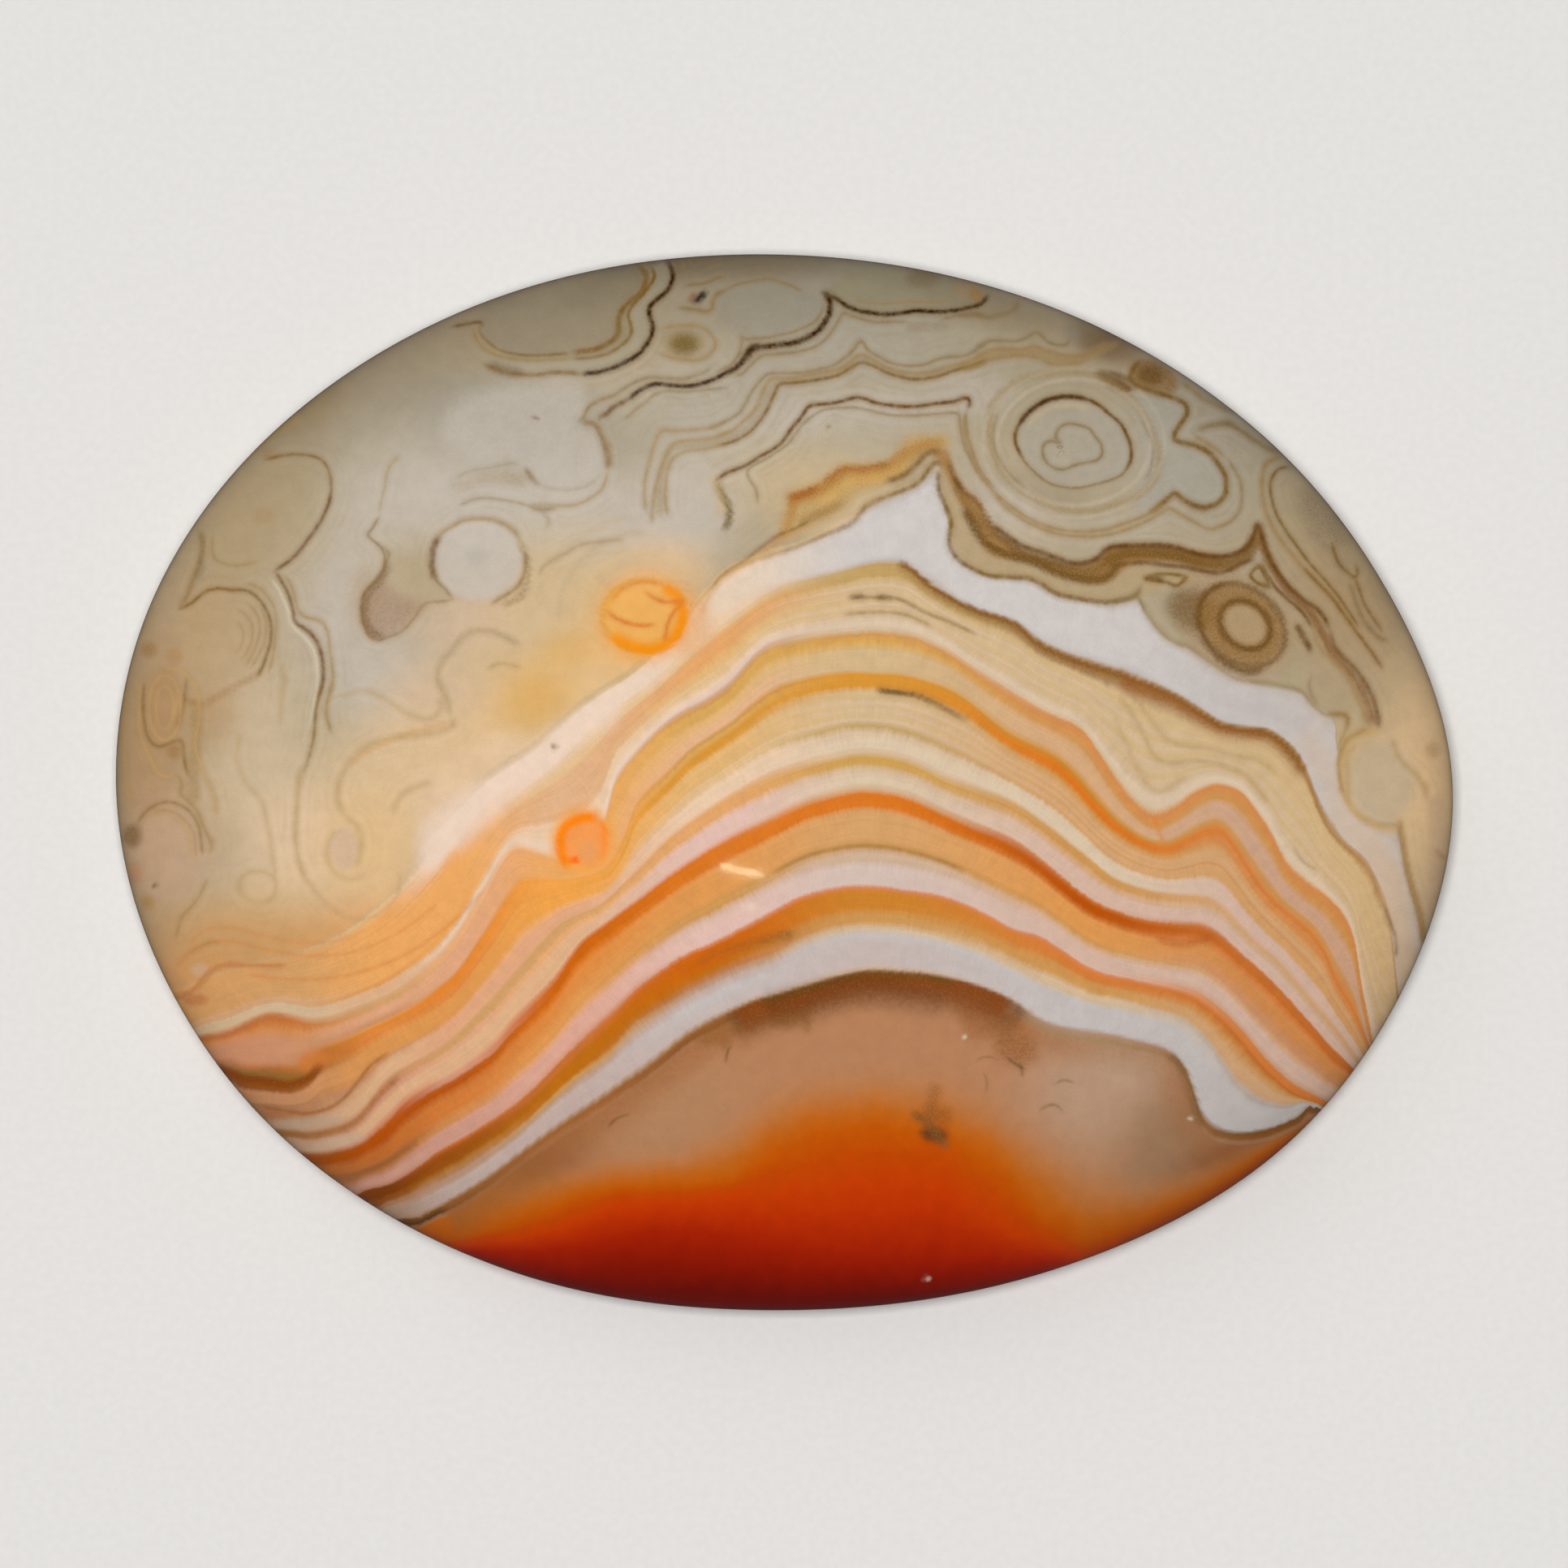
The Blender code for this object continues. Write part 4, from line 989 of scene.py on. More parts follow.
def dome_height(share):
    return SIDE_TOP + (HEIGHT - SIDE_TOP) * np.sqrt(np.clip(1 - share**2, 0, 1))


def join_rings(lower, upper):
    """Triangles between two rings of equally many points, the first one outside or below."""
    lower_next, upper_next = np.roll(lower, -1), np.roll(upper, -1)
    return np.concatenate([
        np.stack([lower, lower_next, upper_next], 1),
        np.stack([lower, upper_next, upper], 1),
    ])


def halve_ring(outer, inner):
    """Triangles between a ring and one inside it with half as many points."""
    even, odd, following = outer[::2], outer[1::2], np.roll(outer, -2)[::2]
    inner_next = np.roll(inner, -1)
    return np.concatenate([
        np.stack([even, odd, inner], 1),
        np.stack([odd, inner_next, inner], 1),
        np.stack([odd, following, inner_next], 1),
    ])


def side_profile():
    """The share and the height of each ring from the face's rim down to the flat back."""
    profile = []
    start = math.acos(FACE_SHARE)
    for k in range(1, SHOULDER_RINGS + 1):
        rise = start * (1 - k / SHOULDER_RINGS)
        profile.append((math.cos(rise), SIDE_TOP + (HEIGHT - SIDE_TOP) * math.sin(rise)))
    for k in range(1, SIDE_RINGS + 1):
        profile.append((1.0, SIDE_TOP + (BACK_EDGE_RADIUS - SIDE_TOP) * k / SIDE_RINGS))
    for k in range(1, EDGE_RINGS + 1):
        turn = math.pi / 2 * k / EDGE_RINGS
        profile.append((1 - EDGE_INSET * (1 - math.cos(turn)), BACK_EDGE_RADIUS * (1 - math.sin(turn))))
    return profile


def stone_shape():
    """The stone's points, how deep each lies, its triangles, and their corners in the texture map.

    A point's depth is how far it is below the dome's face. In the map the dome,
    the side and the back's edge are one oval, unrolled outwards from the dome's
    top, and the flat back is a smaller oval below it.
    """
    angles, shares, faces = disc_rings(FACE_RINGS)
    shares = shares * FACE_SHARE
    heights = dome_height(shares)
    rim = ring_angles(6 * FACE_RINGS)
    last = np.arange(len(angles) - len(rim), len(angles))
    parts = [faces]
    for share, height in side_profile():
        ring = last + len(rim)
        angles = np.append(angles, rim)
        shares = np.append(shares, np.full(len(rim), share))
        heights = np.append(heights, np.full(len(rim), height))
        parts.append(join_rings(ring, last))
        last = ring
    face_count = sum(map(len, parts))

    back_angles, back_shares, back_faces = disc_rings(FACE_RINGS // 2)
    first = len(angles)
    back_rim = np.arange(len(back_angles) - len(rim) // 2, len(back_angles)) + first
    angles = np.append(angles, back_angles)
    shares = np.append(shares, back_shares * (1 - EDGE_INSET) * BACK_SHARE)
    heights = np.append(heights, np.zeros(len(back_angles)))
    parts.append(halve_ring(last, back_rim)[:, ::-1])
    parts.append(back_faces[:, ::-1] + first)
    faces = np.concatenate(parts)

    spread = outline(angles)
    points = np.column_stack([spread * shares[:, None], heights])
    headings = spread / (LENGTH / 2, WIDTH / 2)
    unrolled = unrolled_share(shares, heights)[:, None]
    face_map = np.array(FACE_MAP_MIDDLE) + headings * unrolled * FACE_MAP_REACH
    back_map = np.array(BACK_MAP_MIDDLE) + headings * shares[:, None] * BACK_MAP_REACH
    corners = np.concatenate([face_map[faces[:face_count]], back_map[faces[face_count:]]])
    return points, dome_height(shares) - heights, faces, corners.reshape(-1, 2)


def unrolled_share(shares, heights):
    """How far each point lies from the dome's top along the surface, as a share of the whole way."""
    reach = (LENGTH + WIDTH) / 4
    turn = np.linspace(0, math.pi / 2, DOME_SAMPLES)
    across, down = reach * np.sin(turn), (HEIGHT - SIDE_TOP) * (1 - np.cos(turn))
    dome_way = np.append(0, np.cumsum(np.hypot(np.diff(across), np.diff(down))))
    way = np.interp(shares, np.sin(turn), dome_way)
    below = dome_way[-1] + SIDE_TOP - heights + reach * (1 - shares)
    way = np.where(heights < SIDE_TOP, below, way)
    return way / (dome_way[-1] + SIDE_TOP + BACK_EDGE_RADIUS)


def photo_places(points, depths):
    """Each point's place in the photograph's plane, in pixels, and its depth below the face.

    On the face it is where the camera sees the point. Deeper in the stone the
    bands lean and waver, so what meets the back has drifted from what meets the
    face, as sheets of banding do.
    """
    x, y, z = points.T
    depth = depths / PIXEL
    shift_x = (STONE_CENTRE[0] - PHOTO_SIDE / 2) * PIXEL
    shift_y = (PHOTO_SIDE / 2 - STONE_CENTRE[1]) * PIXEL
    nearer = CAMERA_HEIGHT / (CAMERA_HEIGHT + SIDE_TOP - np.maximum(z, SIDE_TOP))
    across = PHOTO_SIDE / 2 + (x + shift_x) * nearer / PIXEL
    down = PHOTO_SIDE / 2 - (y + shift_y) * nearer / PIXEL
    swing = depth * BAND_SWING
    across = across + BAND_DRIFT[0] * depth + swing * np.sin(down / SWING_LENGTHS[0])
    down = down + BAND_DRIFT[1] * depth + swing * np.sin(across / SWING_LENGTHS[1])
    return np.stack([across, down, depth], 1)


def smooth_path(points, pieces=4):
    """More points along a smooth curve that passes through each given one."""
    points = np.array(points, float)
    closed = bool(np.all(points[0] == points[-1]))
    before = points[-2] if closed else 2 * points[0] - points[1]
    after = points[1] if closed else 2 * points[-1] - points[-2]
    padded = np.vstack([before, points, after])
    path = []
    for k in range(1, len(padded) - 2):
        a, b, c, d = padded[k - 1:k + 3]
        for t in np.arange(pieces) / pieces:
            path.append(0.5 * (2 * b + (c - a) * t + (2 * a - 5 * b + 4 * c - d) * t**2
                               + (3 * b - a - 3 * c + d) * t**3))
    path.append(points[-1])
    return np.array(path)


@functools.cache
def band_paths():
    """Each band curve's height, and its close points from left to right."""
    paths = {}
    for (level,), points in rows_of(BAND_CURVES):
        path = path_of(points)
        keep = np.append(True, np.diff(np.maximum.accumulate(path[:, 0])) > 0)
        paths[int(level)] = path[keep]
    return paths


def curve_rows(across):
    """How far down each band curve lies at each column."""
    return [np.interp(across, *path.T) for path in band_paths().values()]


def band_heights(places):
    """Where each point lies in the band sequence, as a height at the reference column."""
    levels, curves, down = list(band_paths()), curve_rows(places[:, 0]), places[:, 1]
    heights = levels[0] + (down - curves[0])
    for low, high, upper, lower in zip(levels, levels[1:], curves, curves[1:]):
        share = (down - upper) / np.maximum(lower - upper, 1)
        heights = np.where(down > upper, low + (high - low) * share, heights)
    return np.where(down > curves[-1], levels[-1] + down - curves[-1], heights)


@functools.cache
def band_stops():
    """The band sequence's heights, each with the colour at every station."""
    stops = []
    for line in BANDS.strip().splitlines():
        height, *names = line.split()
        if stops:
            names = [above if name == "." else name for name, above in zip(names, stops[-1][1])]
        stops.append((int(height), names))
    return stops


def fibre_columns(places):
    """The column at which the fibre through each point meets the middle band.

    A fibre crosses every band squarely, so the way to the middle band follows
    the steepest change of the height in small steps.
    """
    spots = places[:, :2].copy()
    for step in range(FIBRE_STEPS):
        here = band_heights(spots)
        slope = np.stack([band_heights(spots + offset) - here for offset in ((1, 0), (0, 1))], 1)
        steep = np.maximum((slope**2).sum(1), LEAST_SLOPE)
        left = (FIBRE_MIDDLE - here) / (FIBRE_STEPS - step)
        spots += slope * (left / steep)[:, None]
    return spots[:, 0]


def along_band(height, start, end):
    """Points along the bands at one height in the sequence, between two columns."""
    across = np.linspace(start, end, max(3, round((end - start) / BAND_STEP)))
    levels, curves = list(band_paths()), np.array(curve_rows(across))
    down = [np.interp(height, levels, column) for column in curves.T]
    return np.stack([across, down], 1)


def oval(x, y, along, across, turn):
    """Points round an oval, the last one the same as the first."""
    angles = np.radians(np.arange(0, 360 + OVAL_STEP, OVAL_STEP) % 360)
    u, v = along * np.cos(angles), across * np.sin(angles)
    c, s = math.cos(math.radians(turn)), math.sin(math.radians(turn))
    return np.stack([x + u * c - v * s, y + u * s + v * c], 1)


def path_of(words):
    """The smooth path that a row's words describe."""
    if words[0] in ("along", "oval"):
        shape = along_band if words[0] == "along" else oval
        return smooth_path(shape(*map(float, words[1:])))
    return smooth_path([word.split(",") for word in words])


def nearest_on_path(path, places):
    """The signed distance of each place from a path, and how far along it the nearest point lies."""
    starts, steps = path[:-1], np.diff(path, axis=0)
    lengths = np.hypot(*steps.T)
    keep = lengths > SHORTEST_PIECE
    starts, steps, lengths = starts[keep], steps[keep], lengths[keep]
    along = np.append(0, np.cumsum(lengths))
    offset = places[:, None] - starts
    share = np.clip((offset * steps).sum(2) / lengths**2, 0, 1)
    gap = offset - share[..., None] * steps
    distance = np.hypot(gap[..., 0], gap[..., 1])
    best = distance.argmin(1)
    rows = np.arange(len(places))
    side = steps[best, 0] * offset[rows, best, 1] - steps[best, 1] * offset[rows, best, 0]
    signed = distance[rows, best] * np.where(side < 0, -1, 1)
    return signed, along[best] + share[rows, best] * lengths[best], along[-1]


def near_rows(path, places, reach):
    inside = np.all((places > path.min(0) - reach) & (places < path.max(0) + reach), axis=1)
    return np.nonzero(inside)[0]


def fade(values, start, end):
    """1 up to start and 0 from end, with a smooth fall between."""
    share = np.clip((end - values) / (end - start), 0, 1)
    return share * share * (3 - 2 * share)


def power_along(strength, path, along, length):
    """A mark's strength at each distance along its path, which fades in at the ends of an open one."""
    if isinstance(strength, tuple):
        strength = strength[0] + (strength[1] - strength[0]) * along / length
    if np.allclose(path[0], path[-1]):
        return strength * np.ones(len(along))
    reach = min(LINE_FADE, length / 3)
    return strength * ((1 - fade(along, 0, reach)) * (1 - fade(length - along, 0, reach)))


def line_fields(places, heights):
    """The fine lines as layers of (distance over half the width, strength, tone) at each point.

    Where two lines in one layer come close, each point keeps the nearer one.
    With the layers come the distance of the most telling line round each point
    of the ground and its strength, which carry the stain round the lines.
    """
    flat = places[:, :2]
    ground = heights < band_stops()[0][0] + STAIN_DEPTH
    layers = [np.tile(NO_LINE, (len(flat), 1)) for _ in range(LINE_LAYERS)]
    gaps = [np.full(len(flat), np.inf) for _ in range(LINE_LAYERS)]
    near, told, best = np.full(len(flat), float(STAIN_REACH)), np.zeros(len(flat)), np.zeros(len(flat))
    for name, half, strength, path in marks_of(LINES):
        tone = TONES[name][0]
        wide = max(0, 2 * half - LINE_SLIM)
        rows = near_rows(path, flat, STAIN_REACH)
        if not len(rows):
            continue
        distance, along, length = nearest_on_path(path, flat[rows])
        gap = np.abs(distance)
        power = power_along(strength, path, along, length)
        if tone > 0:
            score = power * np.exp(-gap / STAIN_RIVALRY)
            wins = (score > best[rows]) & ground[rows]
            near[rows[wins]], told[rows[wins]] = gap[wins], power[wins]
            best[rows[wins]] = score[wins]

        close = gap < LINE_REACH + wide
        rows, distance, power, gap = rows[close], distance[close], power[close], gap[close]
        clashes = [np.isfinite(layer_gaps[rows]).sum() for layer_gaps in gaps]
        k = int(np.argmin(clashes))
        power = power * fade(gap, LINE_NEAR + wide, LINE_FAR + wide)
        wins = gap < gaps[k][rows]
        values = np.stack([distance / half, power, np.full(len(rows), tone)], 1)
        layers[k][rows[wins]] = values[wins]
        gaps[k][rows[wins]] = gap[wins]
    return layers, near, told


def fire_levels(places):
    """How strongly the window glows at each point, from 0 to 1."""
    table = np.array([column + starts for column, starts in rows_of(FIRE_COLUMNS)], float)
    across, down = places[:, 0], places[:, 1]
    curves = [np.interp(across, table[:, 0], starts) for starts in table.T[1:]]
    level = np.zeros(len(places))
    for low, high, upper, lower in zip(FIRE_LEVELS, FIRE_LEVELS[1:], curves, curves[1:]):
        level += (high - low) * np.clip((down - upper) / (lower - upper), 0, 1)
    return level


def inside_path(path, places):
    """Whether each place lies inside a closed path."""
    inside = np.zeros(len(places), bool)
    for (x0, y0), (x1, y1) in zip(path, path[1:]):
        if y0 == y1:
            continue
        crosses = (places[:, 1] > y0) != (places[:, 1] > y1)
        inside ^= crosses & (places[:, 0] < x0 + (places[:, 1] - y0) * (x1 - x0) / (y1 - y0))
    return inside


def fill_cover(path, softness, strength, places):
    rows = near_rows(path, places, softness)
    distance = np.abs(nearest_on_path(path, places[rows])[0])
    distance = np.where(inside_path(path, places[rows]), -distance, distance)
    return rows, fade(distance, -softness / 2, softness / 2) * strength


def stroke_cover(path, left, right, strength, places):
    rows = near_rows(path, places, max(left, right))
    distance, along, length = nearest_on_path(path, places[rows])
    share = np.abs(distance) / np.where(distance > 0, right, left)
    return rows, power_along(strength, path, along, length) * fade(share, STROKE_CORE, 1)


def soft_marks(places):
    """The fills and strokes over the bands: their colour times their cover, the cover and the pepper."""
    flat = places[:, :2]
    colours, cover, pepper = np.zeros((len(flat), 3)), np.zeros(len(flat)), np.zeros(len(flat))
    marks = [(colour, grain, fill_cover(path, softness, strength, flat))
             for colour, softness, strength, grain, path in marks_of(FILLS)]
    marks += [(colour, grain, stroke_cover(path, left, right, strength, flat))
              for colour, left, right, strength, grain, path in marks_of(STROKES)]
    for colour, grain, (rows, share) in marks:
        colours[rows] = colours[rows] * (1 - share[:, None]) + linear(PALETTE[colour]) * share[:, None]
        cover[rows] = cover[rows] * (1 - share) + share
        pepper[rows] = pepper[rows] * (1 - share) + grain * share
    return colours, cover, pepper


def painted(ground, areas, places):
    """One ground colour with its soft areas painted over it."""
    colours = np.tile(linear(PALETTE[ground]), (len(places), 1))
    for name, *numbers in map(str.split, areas.split(",")):
        x, y, along, across, turn, strength = map(float, numbers)
        angle = math.radians(turn)
        dx, dy = places[:, 0] - x, places[:, 1] - y
        u = (dx * math.cos(angle) + dy * math.sin(angle)) / along
        v = (dy * math.cos(angle) - dx * math.sin(angle)) / across
        cover = (strength * np.exp(-(u * u + v * v) ** 1.5))[:, None]
        colours = colours * (1 - cover) + np.array(linear(PALETTE[name])) * cover
    return colours


def ground_colours(places, heights):
    upper = painted(UPPER_GROUND, UPPER_AREAS, places)
    window = painted(WINDOW_GROUND, WINDOW_AREAS, places)
    return np.where((heights > MIDDLE_HEIGHT)[:, None], window, upper)


class Nodes:
    """Short calls that add nodes to a material or a world and join them up."""

    def __init__(self, owner):
        owner.use_nodes = True
        self.tree = owner.node_tree

    def add(self, kind, *inputs, **settings):
        node = self.tree.nodes.new("ShaderNode" + kind)
        for name, value in settings.items():
            setattr(node, name, value)
        for socket, value in inputs:
            self.join(value, node.inputs[socket])
        return node

    def join(self, value, socket):
        if isinstance(value, bpy.types.NodeSocket):
            self.tree.links.new(value, socket)
        else:
            socket.default_value = value

    def finish(self, name, **inputs):
        """Join values to the sockets of the node that ends the tree, named as words with _ between."""
        for socket, value in inputs.items():
            self.join(value, self.tree.nodes[name].inputs[socket.replace("_", " ")])

    def maths(self, operation, a, b=0.0, c=0.0, clamp=False):
        inputs = ((0, a), (1, b), (2, c))
        return self.add("Math", *inputs, operation=operation, use_clamp=clamp).outputs[0]

    def times(self, a, b, clamp=False):
        return self.maths("MULTIPLY", a, b, clamp=clamp)

    def plus(self, a, b):
        return self.maths("ADD", a, b)

    def swung(self, noise, reach):
        """A noise from 0 to 1 as a number from -reach to reach."""
        return self.maths("MULTIPLY_ADD", noise, 2 * reach, -reach)

    def vector_maths(self, operation, a, b, output=0):
        return self.add("VectorMath", (0, a), (1, b), operation=operation).outputs[output]

    def attribute(self, name, output="Vector"):
        return self.add("Attribute", attribute_type="GEOMETRY", attribute_name=name).outputs[output]

    def field(self, name):
        return self.attribute(name, "Fac")

    def split(self, vector):
        return self.add("SeparateXYZ", (0, vector)).outputs

    def combine(self, x, y, z):
        return self.add("CombineXYZ", (0, x), (1, y), (2, z)).outputs[0]

    def stretched(self, x, y, z):
        """A place for a noise, from pairs of a value and its scale."""
        return self.combine(*(self.times(*pair) for pair in (x, y, z)))

    def mix(self, share, a, b, blend="MIX"):
        node = self.add("Mix", (0, share), (6, a), (7, b), data_type="RGBA", blend_type=blend)
        return node.outputs[2]

    def mix_number(self, share, a, b):
        return self.add("Mix", (0, share), (2, a), (3, b), data_type="FLOAT").outputs[0]

    def step(self, value, low, high, start=0.0, end=1.0):
        """A smooth change from start, where value is low, to end, where it is high."""
        inputs = ((0, value), (1, low), (2, high), (3, start), (4, end))
        return self.add("MapRange", *inputs, interpolation_type="SMOOTHSTEP").outputs[0]

    def noise(self, name, vector):
        inputs = zip(("Vector", "Scale", "Detail", "Roughness"), (vector, *NOISES[name]))
        return self.add("TexNoise", *inputs).outputs["Fac"]

    def patches(self, noise, start=0.0, end=1.0):
        """A smooth change from start to end between a noise's low and high places."""
        return self.step(noise, NOISE_LOW, NOISE_HIGH, start, end)

    def shade(self, colour, share):
        return self.mix(1.0, colour, self.combine(share, share, share), "MULTIPLY")

    def ramp(self, share, stops):
        """A colour ramp from (place, colour) pairs, with places from 0 to 1."""
        node = self.add("ValToRGB", (0, share))
        elements = node.color_ramp.elements
        elements[0].position, elements[0].color = stops[0]
        elements[1].position, elements[1].color = stops[-1]
        for place, colour in stops[1:-1]:
            elements.new(place).color = colour
        return node.outputs

    def long_ramp(self, value, stops):
        """A ramp over (value, colour) pairs in any units, in as many pieces as its length needs."""
        joined = None
        for start in range(0, len(stops) - 1, RAMP_STOPS):
            part = stops[start:start + RAMP_STOPS + 1]
            low, high = part[0][0], part[-1][0]
            share = self.add("MapRange", (0, value), (1, low), (2, high)).outputs[0]
            colour, alpha = self.ramp(share, [((at - low) / (high - low), shade) for at, shade in part])
            if joined:
                later = self.maths("GREATER_THAN", value, low)
                colour = self.mix(later, joined[0], colour)
                alpha = self.mix_number(later, joined[1], alpha)
            joined = colour, alpha
        return joined


def band_layers(nodes, height, across):
    """The band sequence's colour and cover, blended between its stations."""
    colour = cover = None
    for k, station in enumerate(BAND_STATIONS):
        stops = [(level, named_colour(names[k])) for level, names in band_stops()]
        this_colour, this_cover = nodes.long_ramp(height, stops)
        if colour is None:
            colour, cover = this_colour, this_cover
            continue
        share = nodes.step(across, BAND_STATIONS[k - 1], station)
        colour = nodes.mix(share, colour, this_colour)
        cover = nodes.mix_number(share, cover, this_cover)
    return colour, cover


def ground_and_glow(nodes, place, height):
    """The colour under the bands: the ground stained round its lines, and the window's glow."""
    away = nodes.plus(nodes.field("near"), nodes.swung(nodes.noise("drift", place), DRIFT))
    stain = nodes.ramp(nodes.maths("DIVIDE", away, STAIN_REACH),
                       [(at / STAIN_REACH, (share, share, share, 1)) for at, share in STAIN])[0]
    clouded = nodes.patches(nodes.noise("cloud", place), 0.35, 1.1)
    tint = nodes.times(nodes.times(nodes.field("told"), clouded), stain)
    ground = nodes.mix(tint, nodes.attribute("ground", "Color"), named_colour("stain"))

    glow = nodes.field("fire")
    flicker = nodes.swung(nodes.noise("flicker", place), FLICKER)
    glow = nodes.maths("MULTIPLY_ADD", flicker, nodes.step(glow, 0.0, 0.08), glow)
    fire, cover = nodes.ramp(glow, [(at, (*linear(shade), share)) for at, shade, share in FIRE])
    return nodes.mix(nodes.times(cover, nodes.step(height, *FIRE_TOP)), ground, fire)


def band_structure(nodes, bands, fibre, across, height, depth):
    """The bands built up of fine layers along them, which show where they aren't pale, and fibres."""
    layer_place = nodes.stretched((across, 0.004), (height, 0.30), (depth, 0.01))
    layer = nodes.noise("layer", layer_place)
    _, _, paleness = nodes.split(bands)
    layered = nodes.shade(bands, nodes.step(layer, 0.62, 0.36, 0.965, 1.02))
    layered = nodes.mix(nodes.step(layer, 0.52, 0.70, 0.0, 0.08), layered, named_colour("honey"))
    bands = nodes.mix(nodes.step(paleness, 0.28, 0.46, 1.0, 0.2), bands, layered)
    return nodes.shade(bands, nodes.step(fibre, 0.25, 0.75, 0.97, 1.03))


def marks_over(nodes, colour, place):
    """The filled shapes and strokes, with ragged edges, and dark and pale specks where they are grainy."""
    share, pepper = nodes.field("over_share"), nodes.field("pepper")
    whole = nodes.maths("MAXIMUM", share, 0.001)
    over = nodes.vector_maths("DIVIDE", nodes.attribute("over"), nodes.combine(whole, whole, whole))
    edge = nodes.times(share, nodes.maths("SUBTRACT", 1.0, share))
    ragged = nodes.times(nodes.swung(nodes.noise("ragged", place), 1.0),
                         nodes.maths("MULTIPLY_ADD", pepper, 2.5, 0.7))
    share = nodes.maths("MULTIPLY_ADD", edge, ragged, share, clamp=True)
    colour = nodes.mix(share, colour, over)

    speck = nodes.noise("speck", place)
    dark = nodes.times(nodes.step(speck, 0.50, 0.66), pepper)
    colour = nodes.mix(nodes.times(dark, 0.8), colour, named_colour("sepia"))
    pale = nodes.times(nodes.step(speck, 0.46, 0.32), pepper)
    return nodes.mix(nodes.times(pale, 0.35), colour, named_colour("bone"))


def lines_over(nodes, colour, place):
    """The fine lines with a faint stain beside each, a little uneven in place and strength."""
    tones = [(at, (*linear(shade), 1)) for at, shade in TONES.values()]
    uneven = nodes.patches(nodes.noise("uneven", place), 0.65, 1.10)
    jitter = nodes.swung(nodes.noise("jitter", place), JITTER)
    for k in range(LINE_LAYERS):
        distance, strength, tone = nodes.split(nodes.attribute(f"lines_{k}"))
        off = nodes.maths("ABSOLUTE", nodes.plus(distance, jitter))
        power = nodes.times(strength, uneven, clamp=True)
        line_colour = nodes.ramp(tone, tones)[0]
        halo = nodes.times(nodes.step(off, 1.0, 4.6, 0.45, 0.0), power)
        colour = nodes.mix(halo, colour, nodes.mix(0.55, line_colour, named_colour("stain")))
        core = nodes.times(nodes.step(off, 0.2, 2.3, 1.0, 0.0), power)
        colour = nodes.mix(core, colour, line_colour)
    return colour


def stone_material():
    material = bpy.data.materials.new("agate_polished")
    nodes = Nodes(material)
    place = nodes.attribute("place")
    across, _, depth = nodes.split(place)
    height = nodes.field("height")

    # Fine fibres cross the bands and fray their edges, and each band wavers a little
    fibre_place = nodes.stretched((nodes.field("fibre"), 0.24), (height, 0.035), (depth, 0.05))
    fibre = nodes.noise("fibre", fibre_place)
    waver = nodes.swung(nodes.noise("waver", place), WAVER)
    height = nodes.plus(height, nodes.plus(nodes.swung(fibre, FRAY), waver))

    bands, cover = band_layers(nodes, height, across)
    ground = ground_and_glow(nodes, place, height)
    bands = band_structure(nodes, bands, fibre, across, height, depth)
    colour = nodes.mix(cover, ground, bands)
    colour = marks_over(nodes, colour, place)
    colour = lines_over(nodes, colour, place)

    # Faint mottling of the whole stone, a fine grain, and warmer ends
    mottle = nodes.noise("mottle", place)
    colour = nodes.shade(colour, nodes.patches(mottle, 0.96, 1.03))
    colour = nodes.shade(colour, nodes.patches(nodes.noise("grain", place), 0.97, 1.03))
    ends = nodes.maths("ABSOLUTE", nodes.maths("SUBTRACT", across, MIDDLE_COLUMN))
    gains = [nodes.step(ends, ENDS_FROM, ENDS_TO, 1.0, gain) for gain in ENDS_GAIN]
    colour = nodes.vector_maths("MULTIPLY", colour, nodes.combine(*gains))

    bump = nodes.add("Bump", ("Strength", 0.05), ("Distance", 0.00002), ("Height", mottle))
    nodes.finish("Principled BSDF", Base_Color=colour, Roughness=nodes.patches(mottle, 0.045, 0.065),
                 Normal=bump.outputs["Normal"], IOR=1.54)
    return material


def add_object(name, data):
    thing = bpy.data.objects.new(name, data)
    bpy.context.scene.collection.objects.link(thing)
    return thing


def add_attribute(mesh, name, values):
    kind = "FLOAT" if values.ndim == 1 else "FLOAT_VECTOR"
    attribute = mesh.attributes.new(name, kind, "POINT")
    attribute.data.foreach_set("value" if values.ndim == 1 else "vector", values.ravel())


def make_stone():
    points, depths, faces, corners = stone_shape()
    mesh = bpy.data.meshes.new("agate_stone")
    mesh.from_pydata(points.tolist(), [], faces.tolist())
    mesh.uv_layers.new(name="OFBake").data.foreach_set("uv", corners.ravel())
    places = photo_places(points, depths)
    heights = band_heights(places)
    fields = {"place": places, "height": heights, "fibre": fibre_columns(places),
              "ground": ground_colours(places, heights), "fire": fire_levels(places)}
    fields["over"], fields["over_share"], fields["pepper"] = soft_marks(places)
    layers, fields["near"], fields["told"] = line_fields(places, heights)
    fields.update((f"lines_{k}", layer) for k, layer in enumerate(layers))
    for name, values in fields.items():
        add_attribute(mesh, name, values)
    mesh.shade_smooth()
    mesh.materials.append(stone_material())
    return add_object("agate_stone", mesh)


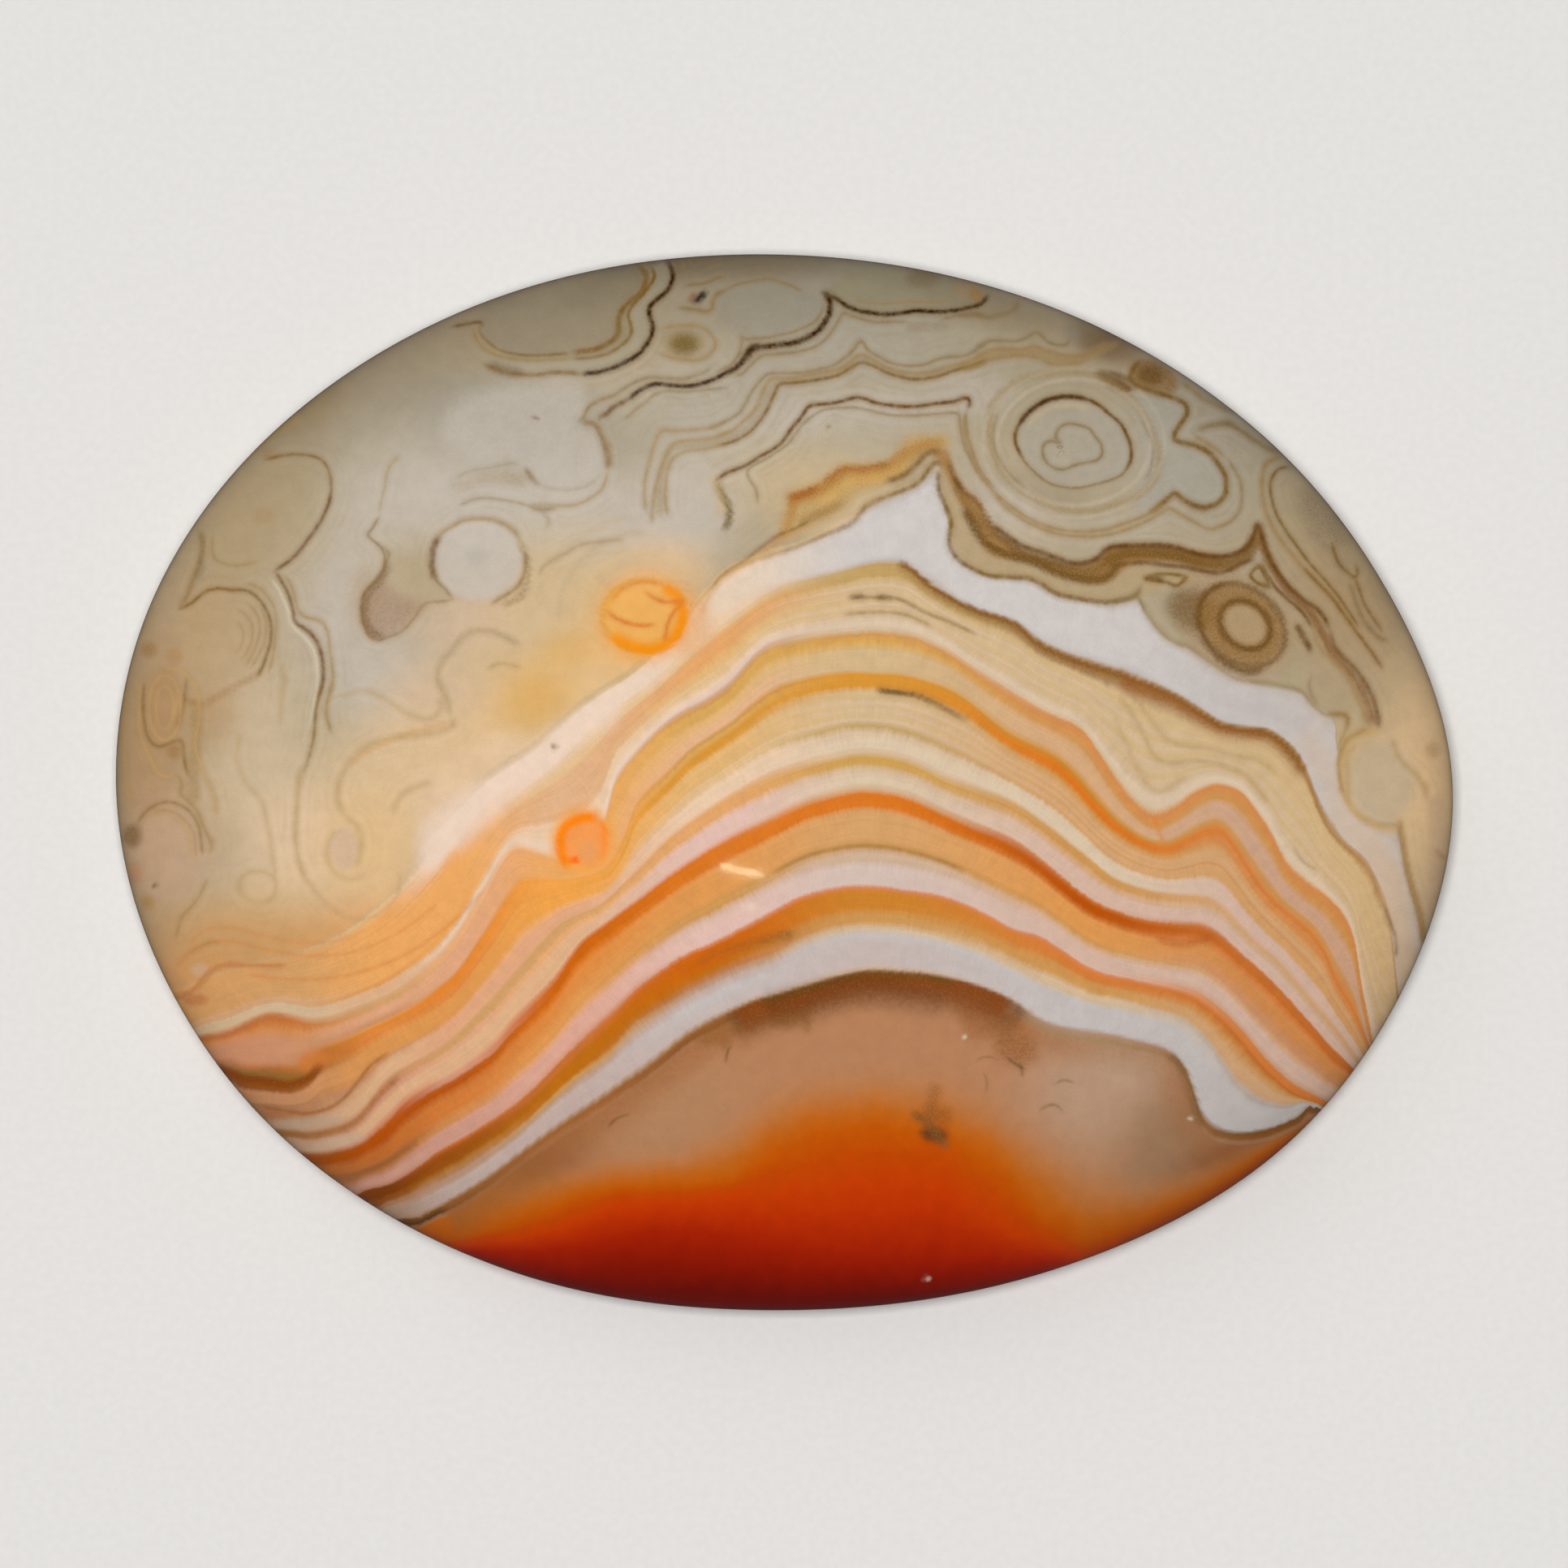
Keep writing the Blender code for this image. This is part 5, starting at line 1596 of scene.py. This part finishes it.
def make_floor():
    """A wide, flat sheet of pale paper under the stone."""
    side = FLOOR_SIDE / 2
    corners = [(-side, -side, 0), (side, -side, 0), (side, side, 0), (-side, side, 0)]
    mesh = bpy.data.meshes.new("studio_floor")
    mesh.from_pydata(corners, [], [(0, 1, 2, 3)])
    floor = add_object("studio_floor", mesh)
    material = bpy.data.materials.new("studio_paper")
    nodes = Nodes(material)
    grain = nodes.noise("paper", nodes.add("TexCoord").outputs["Object"])
    shade = nodes.mix(nodes.patches(grain), named_colour("paper_low"), named_colour("paper_high"))
    nodes.finish("Principled BSDF", Base_Color=shade, Roughness=0.9)
    mesh.materials.append(material)
    floor.visible_glossy = False
    return floor


def add_light(name, place, size, radiance, turn, mirrored):
    """A rectangular lamp that looks straight down, with the brightness its face has."""
    light = bpy.data.lights.new(name, "AREA")
    light.shape = "RECTANGLE"
    light.size, light.size_y = size
    light.energy = radiance * math.pi * size[0] * size[1]
    if mirrored:
        light.color = GLINT_TINT
    lamp = add_object(name, light)
    lamp.location = place
    lamp.rotation_euler = (0, 0, math.radians(turn))
    lamp.visible_glossy = mirrored


def set_world():
    """A dim even sky with one broad, soft, bright patch, which the polish mirrors as a pale sheen."""
    world = bpy.data.worlds.new("studio")
    nodes = Nodes(world)
    heading = nodes.add("TexCoord").outputs["Generated"]
    towards = nodes.vector_maths("DOT_PRODUCT", heading, Vector(PATCH_DIRECTION).normalized(), "Value")
    rim = math.cos(math.radians(PATCH_REACH))
    glow = nodes.step(towards, rim, 1.0, SKY_BRIGHTNESS, PATCH_BRIGHTNESS)
    nodes.finish("Background", Color=(1, 1, 1, 1), Strength=glow)
    bpy.context.scene.world = world


def add_camera():
    data = bpy.data.cameras.new("camera")
    data.sensor_width = SENSOR
    data.lens = SENSOR * CAMERA_HEIGHT / (PHOTO_SIDE * PIXEL)
    data.clip_start = NEAREST_SEEN
    camera = add_object("camera", data)
    middle_x = -(STONE_CENTRE[0] - PHOTO_SIDE / 2) * PIXEL
    middle_y = (STONE_CENTRE[1] - PHOTO_SIDE / 2) * PIXEL
    camera.location = (middle_x, middle_y, SIDE_TOP + CAMERA_HEIGHT)
    bpy.context.scene.camera = camera


stone = make_stone()
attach(stone, "root")
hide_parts("agate")

floor = make_floor()

set_world()
add_light("key", *KEY_LIGHT)
add_light("strip", *STRIP_LIGHT)
add_light("spark", *SPARK_LIGHT)
add_camera()
bpy.context.scene.view_settings.view_transform = "Standard"
